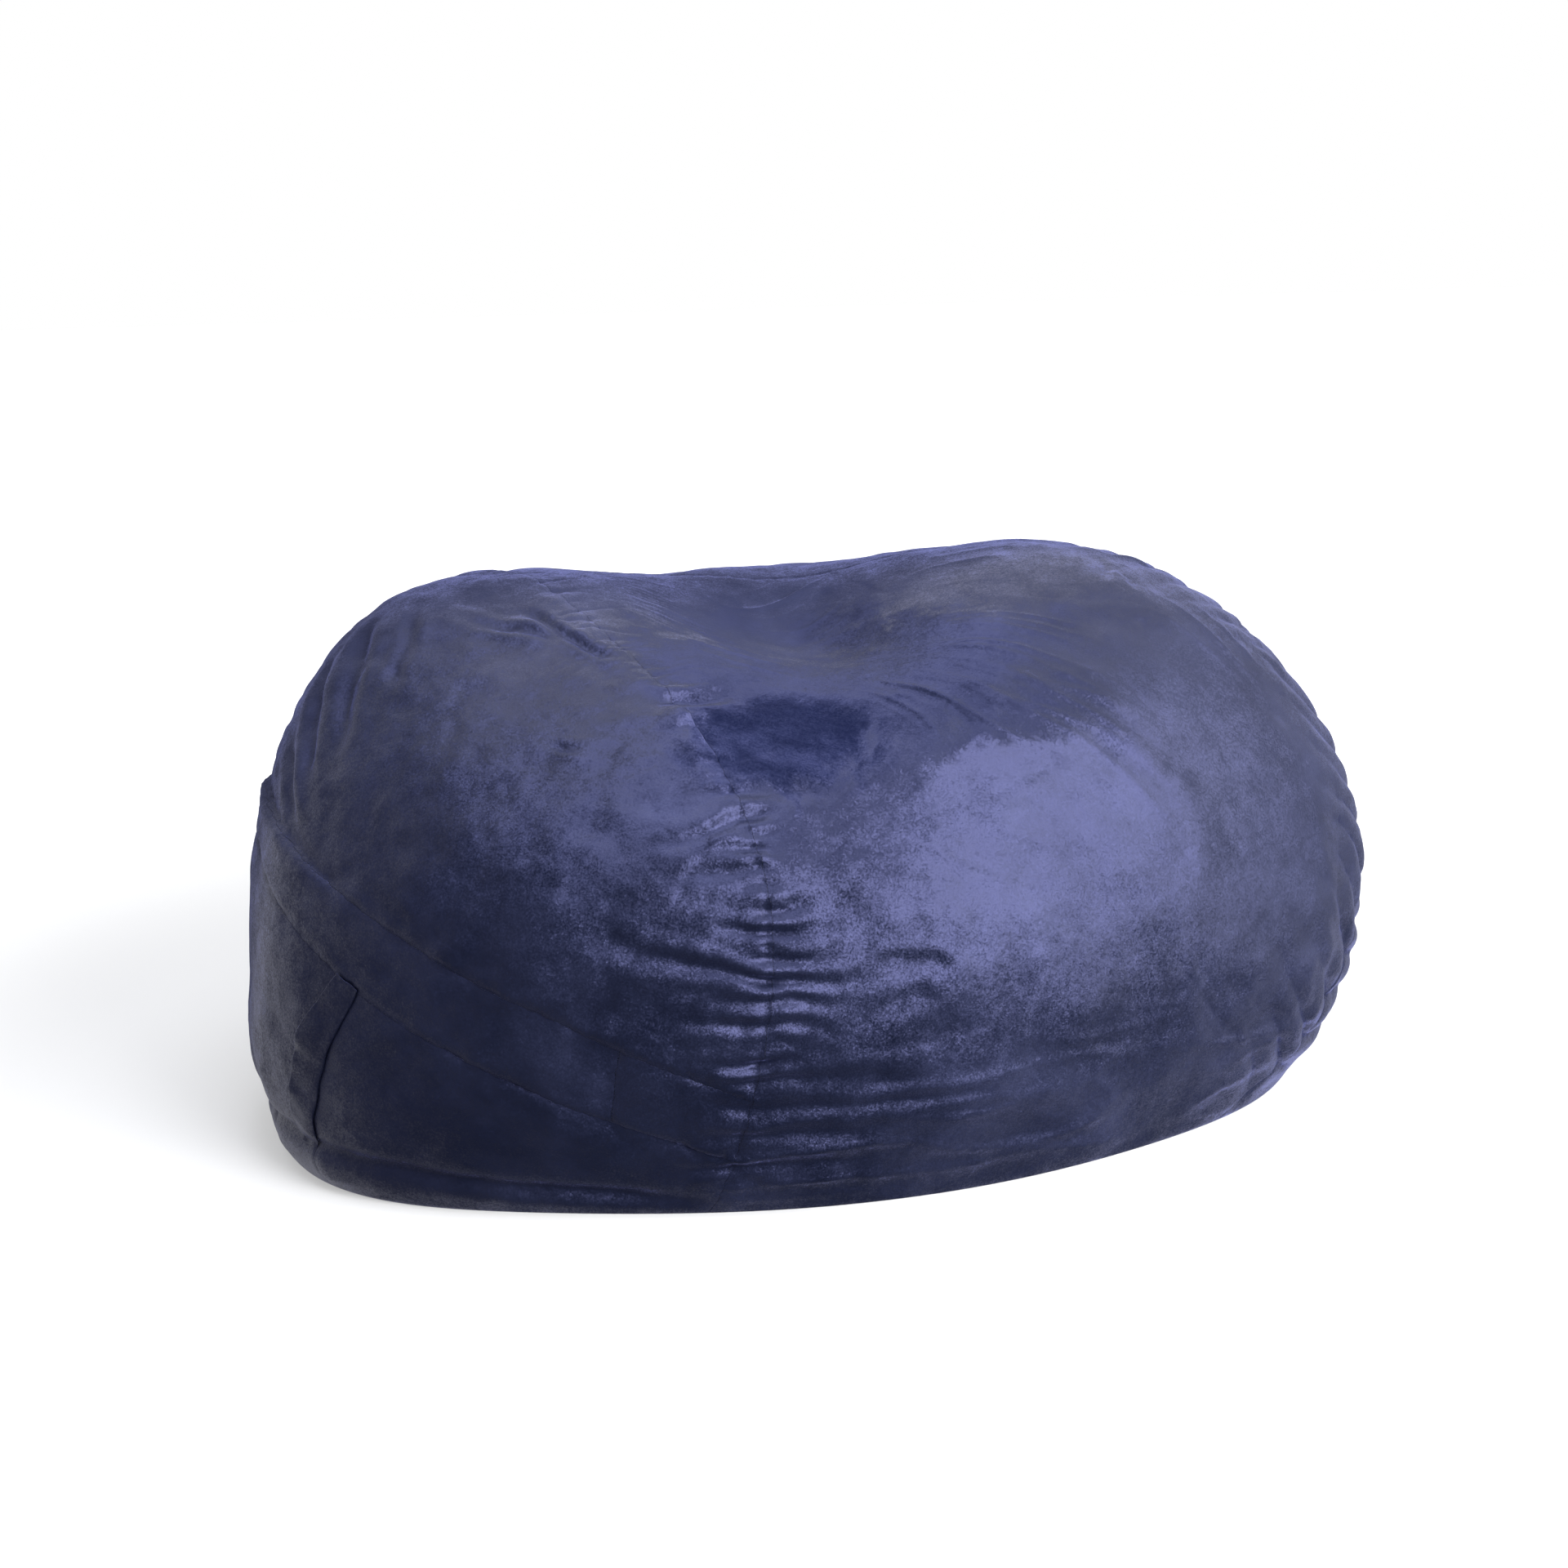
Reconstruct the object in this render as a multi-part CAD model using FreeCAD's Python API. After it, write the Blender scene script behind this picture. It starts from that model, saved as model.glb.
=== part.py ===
import FreeCAD, Part
import math
import os

Vector = FreeCAD.Vector

# A large free-standing bean bag chair: a velvet outer cover made of sewn panels, a plain inner liner,
# a body of shredded foam inside the liner, and a zip under the base of each bag.
#
# Lengths are in millimetres and angles in degrees. +Z is up, +X runs along the bag's longest side and
# -Y is the front. The origin is on the floor, under the middle of the bag's bounding box.

# ---- outer form ----
# The form is a radius in every direction from one centre point: a rounded superellipsoid that is cut
# flat by the floor, with smooth lobes added to it.
CENTRE_X = -23.0
WAIST_HEIGHT = 360.0
HALF_LENGTH = 880.0
HALF_DEPTH = 650.0
CROWN_HEIGHT = 875.0
FOOT_RATIO = 0.88
PLAN_EXPONENT = 2.05
SIDE_EXPONENT = 2.2

# A lobe has an azimuth, an elevation and an angular spread, and a height that is negative for a hollow.
LEFT_SHOULDER = (167.0, 37.0, 20.0, 110.0)
RIGHT_CROWN = (-8.0, 39.0, 29.0, 104.0)
SEAT_HOLLOW = (260.0, 76.0, 28.0, -145.0)
RIGHT_BULGE = (-17.0, -8.0, 25.0, 100.0)
LEFT_BULGE = (193.0, -23.0, 23.0, 87.0)
LOBES = (LEFT_SHOULDER, RIGHT_CROWN, SEAT_HOLLOW, RIGHT_BULGE, LEFT_BULGE)

# ---- layers, from the outside in ----
COVER_THICKNESS = 3.0
LINER_THICKNESS = 1.6
WALL_GAP = 3.0
FILL_GAP = 1.4
LINER_INSET = COVER_THICKNESS + WALL_GAP
FILL_INSET = LINER_INSET + LINER_THICKNESS + FILL_GAP
LINER_FLOOR = 9.0
FILL_FLOOR = 16.5

# ---- seams ----
# A seam lies in a plane, given by the azimuth and tilt of its normal and by the plane's distance from
# the bag's centre along that normal. Panels end at a seam, and its stitching fills the strip between.
SEAM_WIDTH = 2.0
FRONT_SEAM = (19.0, -5.5, -427.0)
CROWN_SEAM = (-101.0, 30.0, 100.0)
BAND_UPPER_SEAM = (-19.7, 66.0, -159.0)
BAND_LOWER_SEAM = (-45.5, 65.4, -144.0)
BAND_JOIN_SEAM = (-38.0, -8.0, 5.0)
FLAP_FREE_EDGE = (61.7, 6.9, -649.0)
FLAP_SEAM = (85.7, 12.9, -390.0)
LINER_SEAM = (90.0, 0.0, 0.0)

# ---- flap over the lower left seam ----
FLAP_LIFT = 0.5
FLAP_THICKNESS = 2.5
FLAP_FOOT = 70.0

# ---- zips ----
ZIP_LENGTH = 900.0
ZIP_SIDE_OFFSET = 50.0
TAPE_THICKNESS = 0.7
TAPE_WIDTH = 16.0
COIL_GAP = 1.5
COIL_WIDTH = 2.5
COIL_HEIGHT = 2.2
COIL_PITCH = 3.0
TOOTH_DEPTH = 0.8
STOP_LENGTH = 4.0
SLOT_WIDTH = 16.0
SLIDER_LENGTH = 14.0
SLIDER_PLATE = 1.2
SLIDER_CLEARANCE = 0.35
SLIDER_RIM = 1.2
SLIDER_POST_LENGTH = 5.0
SLIDER_POST_WIDTH = 0.8
SLIDER_ROUNDING = 2.0

# ---- fineness of the fitted surfaces ----
SIDE_COLUMNS = 20
SIDE_ROWS = 14
REACH = 4000.0

CENTRE = Vector(CENTRE_X, 0, WAIST_HEIGHT)
LOWER_HALF = WAIST_HEIGHT / (1 - FOOT_RATIO ** SIDE_EXPONENT) ** (1 / SIDE_EXPONENT)


# ---- the form as a function of direction ----

def unit(vector):
    return vector * (1 / vector.Length)


def direction(azimuth, elevation):
    a = math.radians(azimuth)
    e = math.radians(elevation)
    return Vector(math.cos(e) * math.cos(a), math.cos(e) * math.sin(a), math.sin(e))


def form_radius(d):
    """Distance from the bag's centre to its skin in the unit direction d."""
    half_height = CROWN_HEIGHT - WAIST_HEIGHT if d.z >= 0 else LOWER_HALF
    plan = (abs(d.x) / HALF_LENGTH) ** PLAN_EXPONENT + (abs(d.y) / HALF_DEPTH) ** PLAN_EXPONENT
    side = plan ** (SIDE_EXPONENT / PLAN_EXPONENT) + (abs(d.z) / half_height) ** SIDE_EXPONENT
    radius = side ** (-1 / SIDE_EXPONENT)
    for azimuth, elevation, spread, height in LOBES:
        cosine = max(-1.0, min(1.0, d.dot(direction(azimuth, elevation))))
        angle = math.degrees(math.acos(cosine))
        radius += height * math.exp(-(angle / spread) ** 2)
    return radius


def skin_point(d, inset):
    """Point on the skin in the direction d, moved inwards at right angles to the skin by inset."""
    step = 0.01
    radius = form_radius(d)
    helper = Vector(1, 0, 0) if abs(d.z) > 0.9 else Vector(0, 0, 1)
    across = unit(d.cross(helper))
    slope_squared = 0.0
    for tangent in (across, across.cross(d)):
        ahead = form_radius(unit(d + tangent * step))
        behind = form_radius(unit(d - tangent * step))
        slope_squared += ((ahead - behind) / (2 * step * radius)) ** 2
    return CENTRE + d * (radius - inset * math.sqrt(1 + slope_squared))


def foot_elevation(azimuth, inset, level):
    """Elevation at which the skin reaches the height called level."""
    low = -60.0
    high = -5.0
    for _ in range(30):
        middle = (low + high) / 2
        if skin_point(direction(azimuth, middle), inset).z < level:
            low = middle
        else:
            high = middle
    return high


# ---- closed solids of the form ----

def side_grid(quarter, inset, level):
    """Points over a quarter of the side, from the foot up to the edge of the top patch."""
    grid = []
    for i in range(SIDE_COLUMNS + 1):
        turn = -45 + 90 * i / SIDE_COLUMNS
        azimuth = turn + 90 * quarter
        top = math.degrees(math.atan(math.cos(math.radians(turn))))
        foot = foot_elevation(azimuth, inset, level)
        column = []
        for j in range(SIDE_ROWS + 1):
            elevation = foot + (top - foot) * j / SIDE_ROWS
            column.append(skin_point(direction(azimuth, elevation), inset))
        column[0].z = level
        grid.append(column)
    return grid


def top_grid(inset):
    """Points over the top patch, which is square as seen from the bag's centre."""
    steps = []
    for i in range(SIDE_COLUMNS + 1):
        steps.append(math.tan(math.radians(-45 + 90 * i / SIDE_COLUMNS)))
    return [[skin_point(unit(Vector(s, t, 1)), inset) for t in steps] for s in steps]


def spline_through(points):
    """Cubic spline with evenly spaced knots, so that two patches get the same curve on a shared edge."""
    curve = Part.BSplineCurve()
    curve.interpolate(Points=points, Parameters=[float(i) for i in range(len(points))])
    return curve


def patch(grid):
    """Smooth face through a grid of points."""
    along = [spline_through(row) for row in grid]
    across = [spline_through(list(column)) for column in zip(*[c.getPoles() for c in along])]
    poles = [list(row) for row in zip(*[c.getPoles() for c in across])]
    u_curve = across[0]
    v_curve = along[0]
    surface = Part.BSplineSurface()
    surface.buildFromPolesMultsKnots(
        poles, u_curve.getMultiplicities(), v_curve.getMultiplicities(),
        u_curve.getKnots(), v_curve.getKnots(), False, False, 3, 3)
    return surface.toShape()


def bag_solid(inset, level):
    """The bag's form moved inwards by inset, standing on a flat base at the height called level."""
    faces = [patch(side_grid(quarter, inset, level)) for quarter in range(4)]
    foot_edges = []
    for face in faces:
        for edge in face.Edges:
            if edge.BoundBox.ZMax < level + 0.01:
                foot_edges.append(edge)
    faces.append(patch(top_grid(inset)))
    faces.append(Part.Face(Part.Wire(Part.__sortEdges__(foot_edges))))
    shell = Part.Shell(faces)
    shell.sewShape()
    solid = Part.Solid(shell)
    if solid.Volume < 0:
        solid.reverse()
    return solid


# ---- cutting ----

def block(plane, low, high):
    """Large block between two distances, low and high, from a seam's plane along its normal."""
    azimuth, tilt, offset = plane
    normal = direction(azimuth, tilt)
    shape = Part.makeBox(REACH, REACH, high - low, Vector(-REACH / 2, -REACH / 2, 0))
    turn = FreeCAD.Rotation(Vector(0, 0, 1), normal)
    shape.Placement = FreeCAD.Placement(CENTRE + normal * (offset + low), turn)
    return shape


def beyond(shape, plane):
    """The part of shape on the side that the plane's normal points to, clear of the stitching."""
    return shape.common(block(plane, SEAM_WIDTH / 2, REACH))


def before(shape, plane):
    return shape.common(block(plane, -REACH, -SEAM_WIDTH / 2))


def stitching(shape, plane):
    return shape.common(block(plane, -SEAM_WIDTH / 2, SEAM_WIDTH / 2))


def level_slice(shape, bottom, top):
    slab = Part.makeBox(REACH, REACH, top - bottom, Vector(-REACH / 2, -REACH / 2, bottom))
    return shape.common(slab)


# ---- outer cover ----

def cover_pieces():
    wall = bag_solid(0, 0).cut(bag_solid(COVER_THICKNESS, COVER_THICKNESS))
    base = level_slice(wall, 0, COVER_THICKNESS)
    slot = Part.makeBox(
        ZIP_LENGTH, SLOT_WIDTH, COVER_THICKNESS,
        Vector(-ZIP_LENGTH / 2, -ZIP_SIDE_OFFSET - SLOT_WIDTH / 2, 0))
    foot_top = COVER_THICKNESS + SEAM_WIDTH
    side = level_slice(wall, foot_top, CROWN_HEIGHT * 2)

    front = beyond(side, CROWN_SEAM)
    back = before(side, CROWN_SEAM)
    left = before(front, FRONT_SEAM)
    under_upper = before(left, BAND_UPPER_SEAM)
    band = beyond(under_upper, BAND_LOWER_SEAM)
    lower = before(left, BAND_LOWER_SEAM)
    return {
        "base_panel": base.cut(slot),
        "base_seam": level_slice(wall, COVER_THICKNESS, foot_top),
        "crown_seam": stitching(side, CROWN_SEAM),
        "back_left_panel": before(back, FRONT_SEAM),
        "back_right_panel": beyond(back, FRONT_SEAM),
        "back_seam": stitching(back, FRONT_SEAM),
        "front_right_panel": beyond(front, FRONT_SEAM),
        "front_seam": stitching(front, FRONT_SEAM),
        "front_left_panel": beyond(left, BAND_UPPER_SEAM),
        "band_upper_seam": stitching(left, BAND_UPPER_SEAM),
        "side_band": before(band, BAND_JOIN_SEAM),
        "band_join_seam": stitching(band, BAND_JOIN_SEAM),
        "side_band_end": beyond(band, BAND_JOIN_SEAM),
        "band_lower_seam": stitching(before(left, BAND_UPPER_SEAM), BAND_LOWER_SEAM),
        "lower_left_panel": before(lower, FLAP_SEAM),
        "flap_seam": stitching(lower, FLAP_SEAM),
        "lower_left_corner_panel": beyond(lower, FLAP_SEAM),
    }


def flap_piece():
    """Narrow strip over the cover, from under the band to just above the floor."""
    outside = bag_solid(-FLAP_LIFT - FLAP_THICKNESS, COVER_THICKNESS)
    skin = outside.cut(bag_solid(-FLAP_LIFT, 0))
    strip = before(beyond(skin, FLAP_SEAM), FLAP_FREE_EDGE)
    strip = before(strip, BAND_LOWER_SEAM)
    return level_slice(strip, FLAP_FOOT, CROWN_HEIGHT)


# ---- liner and filling ----

def liner_pieces():
    liner_top = LINER_FLOOR + LINER_THICKNESS
    inside = bag_solid(LINER_INSET + LINER_THICKNESS, liner_top)
    wall = bag_solid(LINER_INSET, LINER_FLOOR).cut(inside)
    slot = Part.makeBox(
        ZIP_LENGTH, SLOT_WIDTH, LINER_THICKNESS,
        Vector(-ZIP_LENGTH / 2, ZIP_SIDE_OFFSET - SLOT_WIDTH / 2, LINER_FLOOR))
    foot_top = liner_top + SEAM_WIDTH
    side = level_slice(wall, foot_top, CROWN_HEIGHT * 2)
    rim = level_slice(wall, liner_top, foot_top)
    return {
        "liner_base": level_slice(wall, LINER_FLOOR, liner_top).cut(slot),
        "liner_front": before(side, LINER_SEAM),
        "liner_back": beyond(side, LINER_SEAM),
        "liner_seam": Part.Compound([rim, stitching(side, LINER_SEAM)]),
    }


# ---- zips ----

def coil(inner_y, level, side):
    """One half of the zip's chain: a bar with a toothed top, standing on its tape."""
    start = -ZIP_LENGTH / 2 + STOP_LENGTH
    teeth = int((ZIP_LENGTH - 2 * STOP_LENGTH) / COIL_PITCH)
    crest = level + COIL_HEIGHT
    root = crest - TOOTH_DEPTH
    outline = [Vector(start, inner_y, level)]
    for i in range(teeth):
        x = start + i * COIL_PITCH
        outline.append(Vector(x, inner_y, root))
        outline.append(Vector(x + COIL_PITCH * 0.3, inner_y, crest))
        outline.append(Vector(x + COIL_PITCH * 0.7, inner_y, crest))
    end = start + teeth * COIL_PITCH
    outline += [Vector(end, inner_y, root), Vector(end, inner_y, level), outline[0]]
    return Part.Face(Part.makePolygon(outline)).extrude(Vector(0, side * COIL_WIDTH, 0))


def slider(y, tape_level):
    """Slider at the closed end of its zip: two plates round the chain, joined by a thin post."""
    tape_top = tape_level + TAPE_THICKNESS
    chain_half = COIL_GAP / 2 + COIL_WIDTH
    inner_half = chain_half + SLIDER_CLEARANCE
    half_width = inner_half + SLIDER_RIM
    x = ZIP_LENGTH / 2 - STOP_LENGTH - SLIDER_LENGTH
    under = tape_level - SLIDER_CLEARANCE
    over = tape_top + COIL_HEIGHT + SLIDER_CLEARANCE

    def plate(bottom, top):
        shape = Part.makeBox(
            SLIDER_LENGTH, 2 * half_width, top - bottom, Vector(x, y - half_width, bottom))
        upright = [e for e in shape.Edges if e.BoundBox.ZLength > (top - bottom) / 2]
        return shape.makeFillet(SLIDER_ROUNDING, upright)

    lower_plate = plate(under - SLIDER_PLATE, under)
    cap = plate(tape_top + SLIDER_CLEARANCE, over + SLIDER_PLATE)
    channel = Part.makeBox(
        SLIDER_LENGTH, 2 * inner_half, over - tape_top, Vector(x, y - inner_half, tape_top))
    post = Part.makeBox(
        SLIDER_POST_LENGTH, SLIDER_POST_WIDTH, over - under + SLIDER_PLATE,
        Vector(x + (SLIDER_LENGTH - SLIDER_POST_LENGTH) / 2, y - SLIDER_POST_WIDTH / 2,
               under - SLIDER_PLATE / 2))
    return cap.cut(channel).fuse(post).fuse(lower_plate).removeSplitter()


def zip_pieces(name, y, tape_level):
    """Tapes, chain halves, slider and stops of one straight zip along X."""
    pieces = {}
    tape_top = tape_level + TAPE_THICKNESS
    for side, label in ((-1, "left"), (1, "right")):
        inner_y = y + side * COIL_GAP / 2
        outer_y = inner_y + side * TAPE_WIDTH
        pieces[name + "_tape_" + label] = Part.makeBox(
            ZIP_LENGTH, TAPE_WIDTH, TAPE_THICKNESS,
            Vector(-ZIP_LENGTH / 2, min(inner_y, outer_y), tape_level))
        pieces[name + "_coil_" + label] = coil(inner_y, tape_top, side)
    stop_half = COIL_GAP / 2 + COIL_WIDTH
    stops = []
    for x in (-ZIP_LENGTH / 2, ZIP_LENGTH / 2 - STOP_LENGTH):
        stops.append(Part.makeBox(
            STOP_LENGTH, 2 * stop_half, COIL_HEIGHT, Vector(x, y - stop_half, tape_top)))
    pieces[name + "_stops"] = Part.Compound(stops)
    pieces[name + "_slider"] = slider(y, tape_level)
    return pieces


# ---- export ----

pieces = cover_pieces()
pieces["side_flap"] = flap_piece()
pieces.update(liner_pieces())
pieces["shredded_foam_fill"] = bag_solid(FILL_INSET, FILL_FLOOR)
pieces.update(zip_pieces("cover_zip", -ZIP_SIDE_OFFSET, COVER_THICKNESS))
pieces.update(zip_pieces("liner_zip", ZIP_SIDE_OFFSET, LINER_FLOOR + LINER_THICKNESS))

os.makedirs("parts", exist_ok=True)
for name, shape in pieces.items():
    shape.exportStep("parts/" + name + ".step")
    print(name, len(shape.Solids), round(shape.Volume / 1000, 1), "cm3", shape.isValid())
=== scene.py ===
import math

import bmesh
import bpy
import numpy as np
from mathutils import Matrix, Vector
from mathutils.bvhtree import BVHTree


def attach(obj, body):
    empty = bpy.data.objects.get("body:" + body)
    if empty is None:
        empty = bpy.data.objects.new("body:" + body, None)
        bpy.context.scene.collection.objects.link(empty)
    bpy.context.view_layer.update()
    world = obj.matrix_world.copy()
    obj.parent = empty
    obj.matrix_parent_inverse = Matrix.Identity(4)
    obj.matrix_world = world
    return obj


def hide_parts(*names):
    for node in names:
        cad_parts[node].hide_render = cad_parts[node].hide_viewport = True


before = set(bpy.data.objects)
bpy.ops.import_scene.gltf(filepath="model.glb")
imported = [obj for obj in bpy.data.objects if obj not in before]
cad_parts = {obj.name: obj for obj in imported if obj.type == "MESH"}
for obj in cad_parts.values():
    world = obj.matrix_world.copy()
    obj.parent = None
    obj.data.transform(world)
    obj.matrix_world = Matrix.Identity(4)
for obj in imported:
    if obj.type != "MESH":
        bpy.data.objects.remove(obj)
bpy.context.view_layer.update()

# A large velvet bean bag chair. The cover is one skin of cloth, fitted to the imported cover, cut along
# its seams, inflated as cloth, creased, and then split into its panels. Lengths are in metres.

BODY = "bag"
CENTRE = np.array([-0.023, 0.0, 0.36])
FOOT_HEIGHT = 0.0015   # where the foot's outline is read from the cover
CLEARANCE = 0.0004     # of the cloth above the floor

# ---------------------------------------------------------------- seams

# Azimuth and tilt of each seam plane's normal in degrees, and its distance from the centre.
SEAM_PLANES = {
    "front": (19.0, -5.5, -0.427),
    "crown": (-101.0, 30.0, 0.100),
    "band_upper": (-19.7, 66.0, -0.159),
    "band_lower": (-45.5, 65.4, -0.144),
    "band_join": (-38.0, -8.0, 0.005),
    "flap": (85.7, 12.9, -0.390),
    "flap_edge": (61.7, 6.9, -0.649),
}


def direction(azimuth, elevation):
    a = np.radians(azimuth)
    e = np.radians(elevation)
    return np.stack([np.cos(e) * np.cos(a), np.cos(e) * np.sin(a), np.sin(e)], -1)


def across(points, seam):
    """Signed distance of each point from a seam's plane."""
    azimuth, tilt, offset = SEAM_PLANES[seam]
    return (points - CENTRE) @ direction(azimuth, tilt) - offset


def along(points, seam, radius=0.6):
    """Distance of each point along a seam, as an angle in the seam's plane times a radius."""
    azimuth, tilt, _ = SEAM_PLANES[seam]
    normal = direction(azimuth, tilt)
    side = np.cross(normal, [0, 0, 1])
    side /= np.linalg.norm(side)
    up = np.cross(side, normal)
    p = points - CENTRE
    return np.arctan2(p @ up, p @ side) * radius


PANELS = ["front_right_panel", "front_left_panel", "side_band", "side_band_end", "lower_left_panel",
          "lower_left_corner_panel", "back_left_panel", "back_right_panel"]


def panel_of(points):
    """Index in PANELS of the panel that each point lies on."""
    is_left = across(points, "front") < 0
    is_back = across(points, "crown") < 0
    above_band = across(points, "band_upper") > 0
    above_lower = across(points, "band_lower") > 0
    past_join = across(points, "band_join") > 0
    past_flap = across(points, "flap") > 0
    index = np.where(above_band, 1, np.where(above_lower, np.where(past_join, 3, 2),
                                             np.where(past_flap, 5, 4)))
    index = np.where(is_left, index, 0)
    return np.where(is_back, np.where(is_left, 6, 7), index)


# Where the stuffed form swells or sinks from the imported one: azimuth, elevation, spread, height.
FORM_TOUCHES = (
    (255, 36, 17, -0.030),
    (240, 72, 14, 0.024),
    (178, 32, 16, 0.014),
    (4, 33, 12, 0.018),
    (-15, 5, 22, 0.012),
    (-25, -26, 13, 0.004),
    (203, -22, 11, 0.014),
    (182, 12, 42, 0.010),
    (-12, 14, 40, 0.008),
    (200, 62, 22, 0.003),
    (55, 66, 14, -0.006),
    (90, 20, 180, 0.008),
)


def form_touches(directions):
    total = np.zeros(len(directions))
    for azimuth, elevation, spread, height in FORM_TOUCHES:
        angle = np.degrees(np.arccos(np.clip(directions @ direction(azimuth, elevation), -1, 1)))
        total += height * np.exp(-(angle / spread) ** 2)
    return total


# Which panels a seam's plane cuts, in cutting order.
SEAM_CUTS = (
    ("front", PANELS),
    ("crown", PANELS),
    ("band_upper", ("front_left_panel", "side_band", "side_band_end", "lower_left_panel",
                    "lower_left_corner_panel")),
    ("band_lower", ("side_band", "side_band_end", "lower_left_panel", "lower_left_corner_panel")),
    ("band_join", ("side_band", "side_band_end")),
    ("flap", ("lower_left_panel", "lower_left_corner_panel")),
)


# ---------------------------------------------------------------- noise

def smoothstep(low, high, x):
    t = np.clip((x - low) / (high - low), 0, 1)
    return t * t * (3 - 2 * t)


def noise(p, seed=0):
    """Smooth gradient noise in about -1..1 at each row of p, with one feature per unit."""
    cell = np.floor(p).astype(np.int64)
    f = p - cell
    fade = f * f * f * (f * (f * 6 - 15) + 10)
    total = np.zeros(len(p))
    for corner in range(8):
        step = np.array([corner & 1, corner >> 1 & 1, corner >> 2 & 1])
        c = cell + step
        h = (c[:, 0] * 374761393 + c[:, 1] * 668265263 + c[:, 2] * 1274126177 + seed * 974634777)
        h = (h ^ (h >> 13)) * 1103515245 & 0xFFFFFFFF
        h = (h ^ (h >> 16)) & 0xFFFFFFFF
        turn = (h & 4095) * (2 * math.pi / 4096)
        rise = ((h >> 12) & 4095) / 2047.5 - 1
        flat = np.sqrt(np.maximum(0, 1 - rise ** 2))
        gradient = np.stack([flat * np.cos(turn), flat * np.sin(turn), rise], 1)
        weight = np.prod(np.where(step, fade, 1 - fade), axis=1)
        total += weight * np.sum(gradient * (f - step), axis=1)
    return total * 1.7


def rows(*columns):
    """Columns of numbers, some of them perhaps a single number, as the rows of one array."""
    return np.stack(np.broadcast_arrays(*columns), 1)


def fractal(p, octaves, seed=0):
    total = np.zeros(len(p))
    for octave in range(octaves):
        total += noise(p * 2 ** octave, seed + octave) / 2 ** octave
    return total


def ridges(p, seed=0, sharpness=2.0):
    """Noise with narrow crests, in 0..1."""
    return (1 - np.abs(noise(p, seed))) ** sharpness


# ---------------------------------------------------------------- meshes

def new_object(name, vertices, faces):
    mesh = bpy.data.meshes.new(name)
    mesh.from_pydata([tuple(v) for v in vertices], [], [tuple(f) for f in faces])
    mesh.update()
    obj = bpy.data.objects.new(name, mesh)
    bpy.context.scene.collection.objects.link(obj)
    return obj


def coordinates(mesh):
    co = np.zeros(len(mesh.vertices) * 3)
    mesh.vertices.foreach_get("co", co)
    return co.reshape(-1, 3)


def set_coordinates(mesh, points):
    mesh.vertices.foreach_set("co", np.asarray(points, float).ravel())
    mesh.update()


def normals(mesh):
    n = np.zeros(len(mesh.vertices) * 3)
    mesh.vertices.foreach_get("normal", n)
    return n.reshape(-1, 3)


def edges_of(mesh):
    pairs = np.zeros(len(mesh.edges) * 2, np.int64)
    mesh.edges.foreach_get("vertices", pairs)
    return pairs.reshape(-1, 2)


def smoothed(values, pairs, rounds, fixed=None, share=0.5):
    """Each row of values moved towards the mean of its neighbours, a number of times."""
    a, b = pairs[:, 0], pairs[:, 1]
    count = np.bincount(np.concatenate([a, b]), minlength=len(values))[:, None]
    result = values.copy()
    for _ in range(rounds):
        mean = np.zeros_like(result)
        for k, column in enumerate(result.T):
            mean[:, k] = np.bincount(a, column[b], len(values)) + np.bincount(b, column[a], len(values))
        mean /= np.maximum(count, 1)
        moved = result + (mean - result) * share
        result = moved if fixed is None else np.where(fixed[:, None], values, moved)
    return result


def tree_of(nodes):
    """One ray-casting tree of several CAD nodes."""
    vertices = []
    polygons = []
    for name in nodes:
        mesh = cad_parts[name].data
        start = len(vertices)
        vertices += [v.co.copy() for v in mesh.vertices]
        polygons += [[start + i for i in p.vertices] for p in mesh.polygons]
    return BVHTree.FromPolygons(vertices, polygons)


def apply_modifiers(obj):
    """Replaces an object's mesh by what its modifiers make of it."""
    graph = bpy.context.evaluated_depsgraph_get()
    mesh = bpy.data.meshes.new_from_object(obj.evaluated_get(graph), depsgraph=graph)
    obj.modifiers.clear()
    obj.data = mesh
    return obj


def subdivide(obj):
    subdivision = obj.modifiers.new("Subdivision", "SUBSURF")
    subdivision.levels = 1
    subdivision.render_levels = 1


def thicken(obj, thickness, offset):
    solid = obj.modifiers.new("Solidify", "SOLIDIFY")
    solid.thickness = thickness
    solid.offset = offset


def part_of(faces):
    """The vertices that some of a mesh's faces use, and those faces numbered for them."""
    used = sorted({v for f in faces for v in f})
    place = {v: i for i, v in enumerate(used)}
    return used, [tuple(place[v] for v in f) for f in faces]


# ---------------------------------------------------------------- the skin

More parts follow.
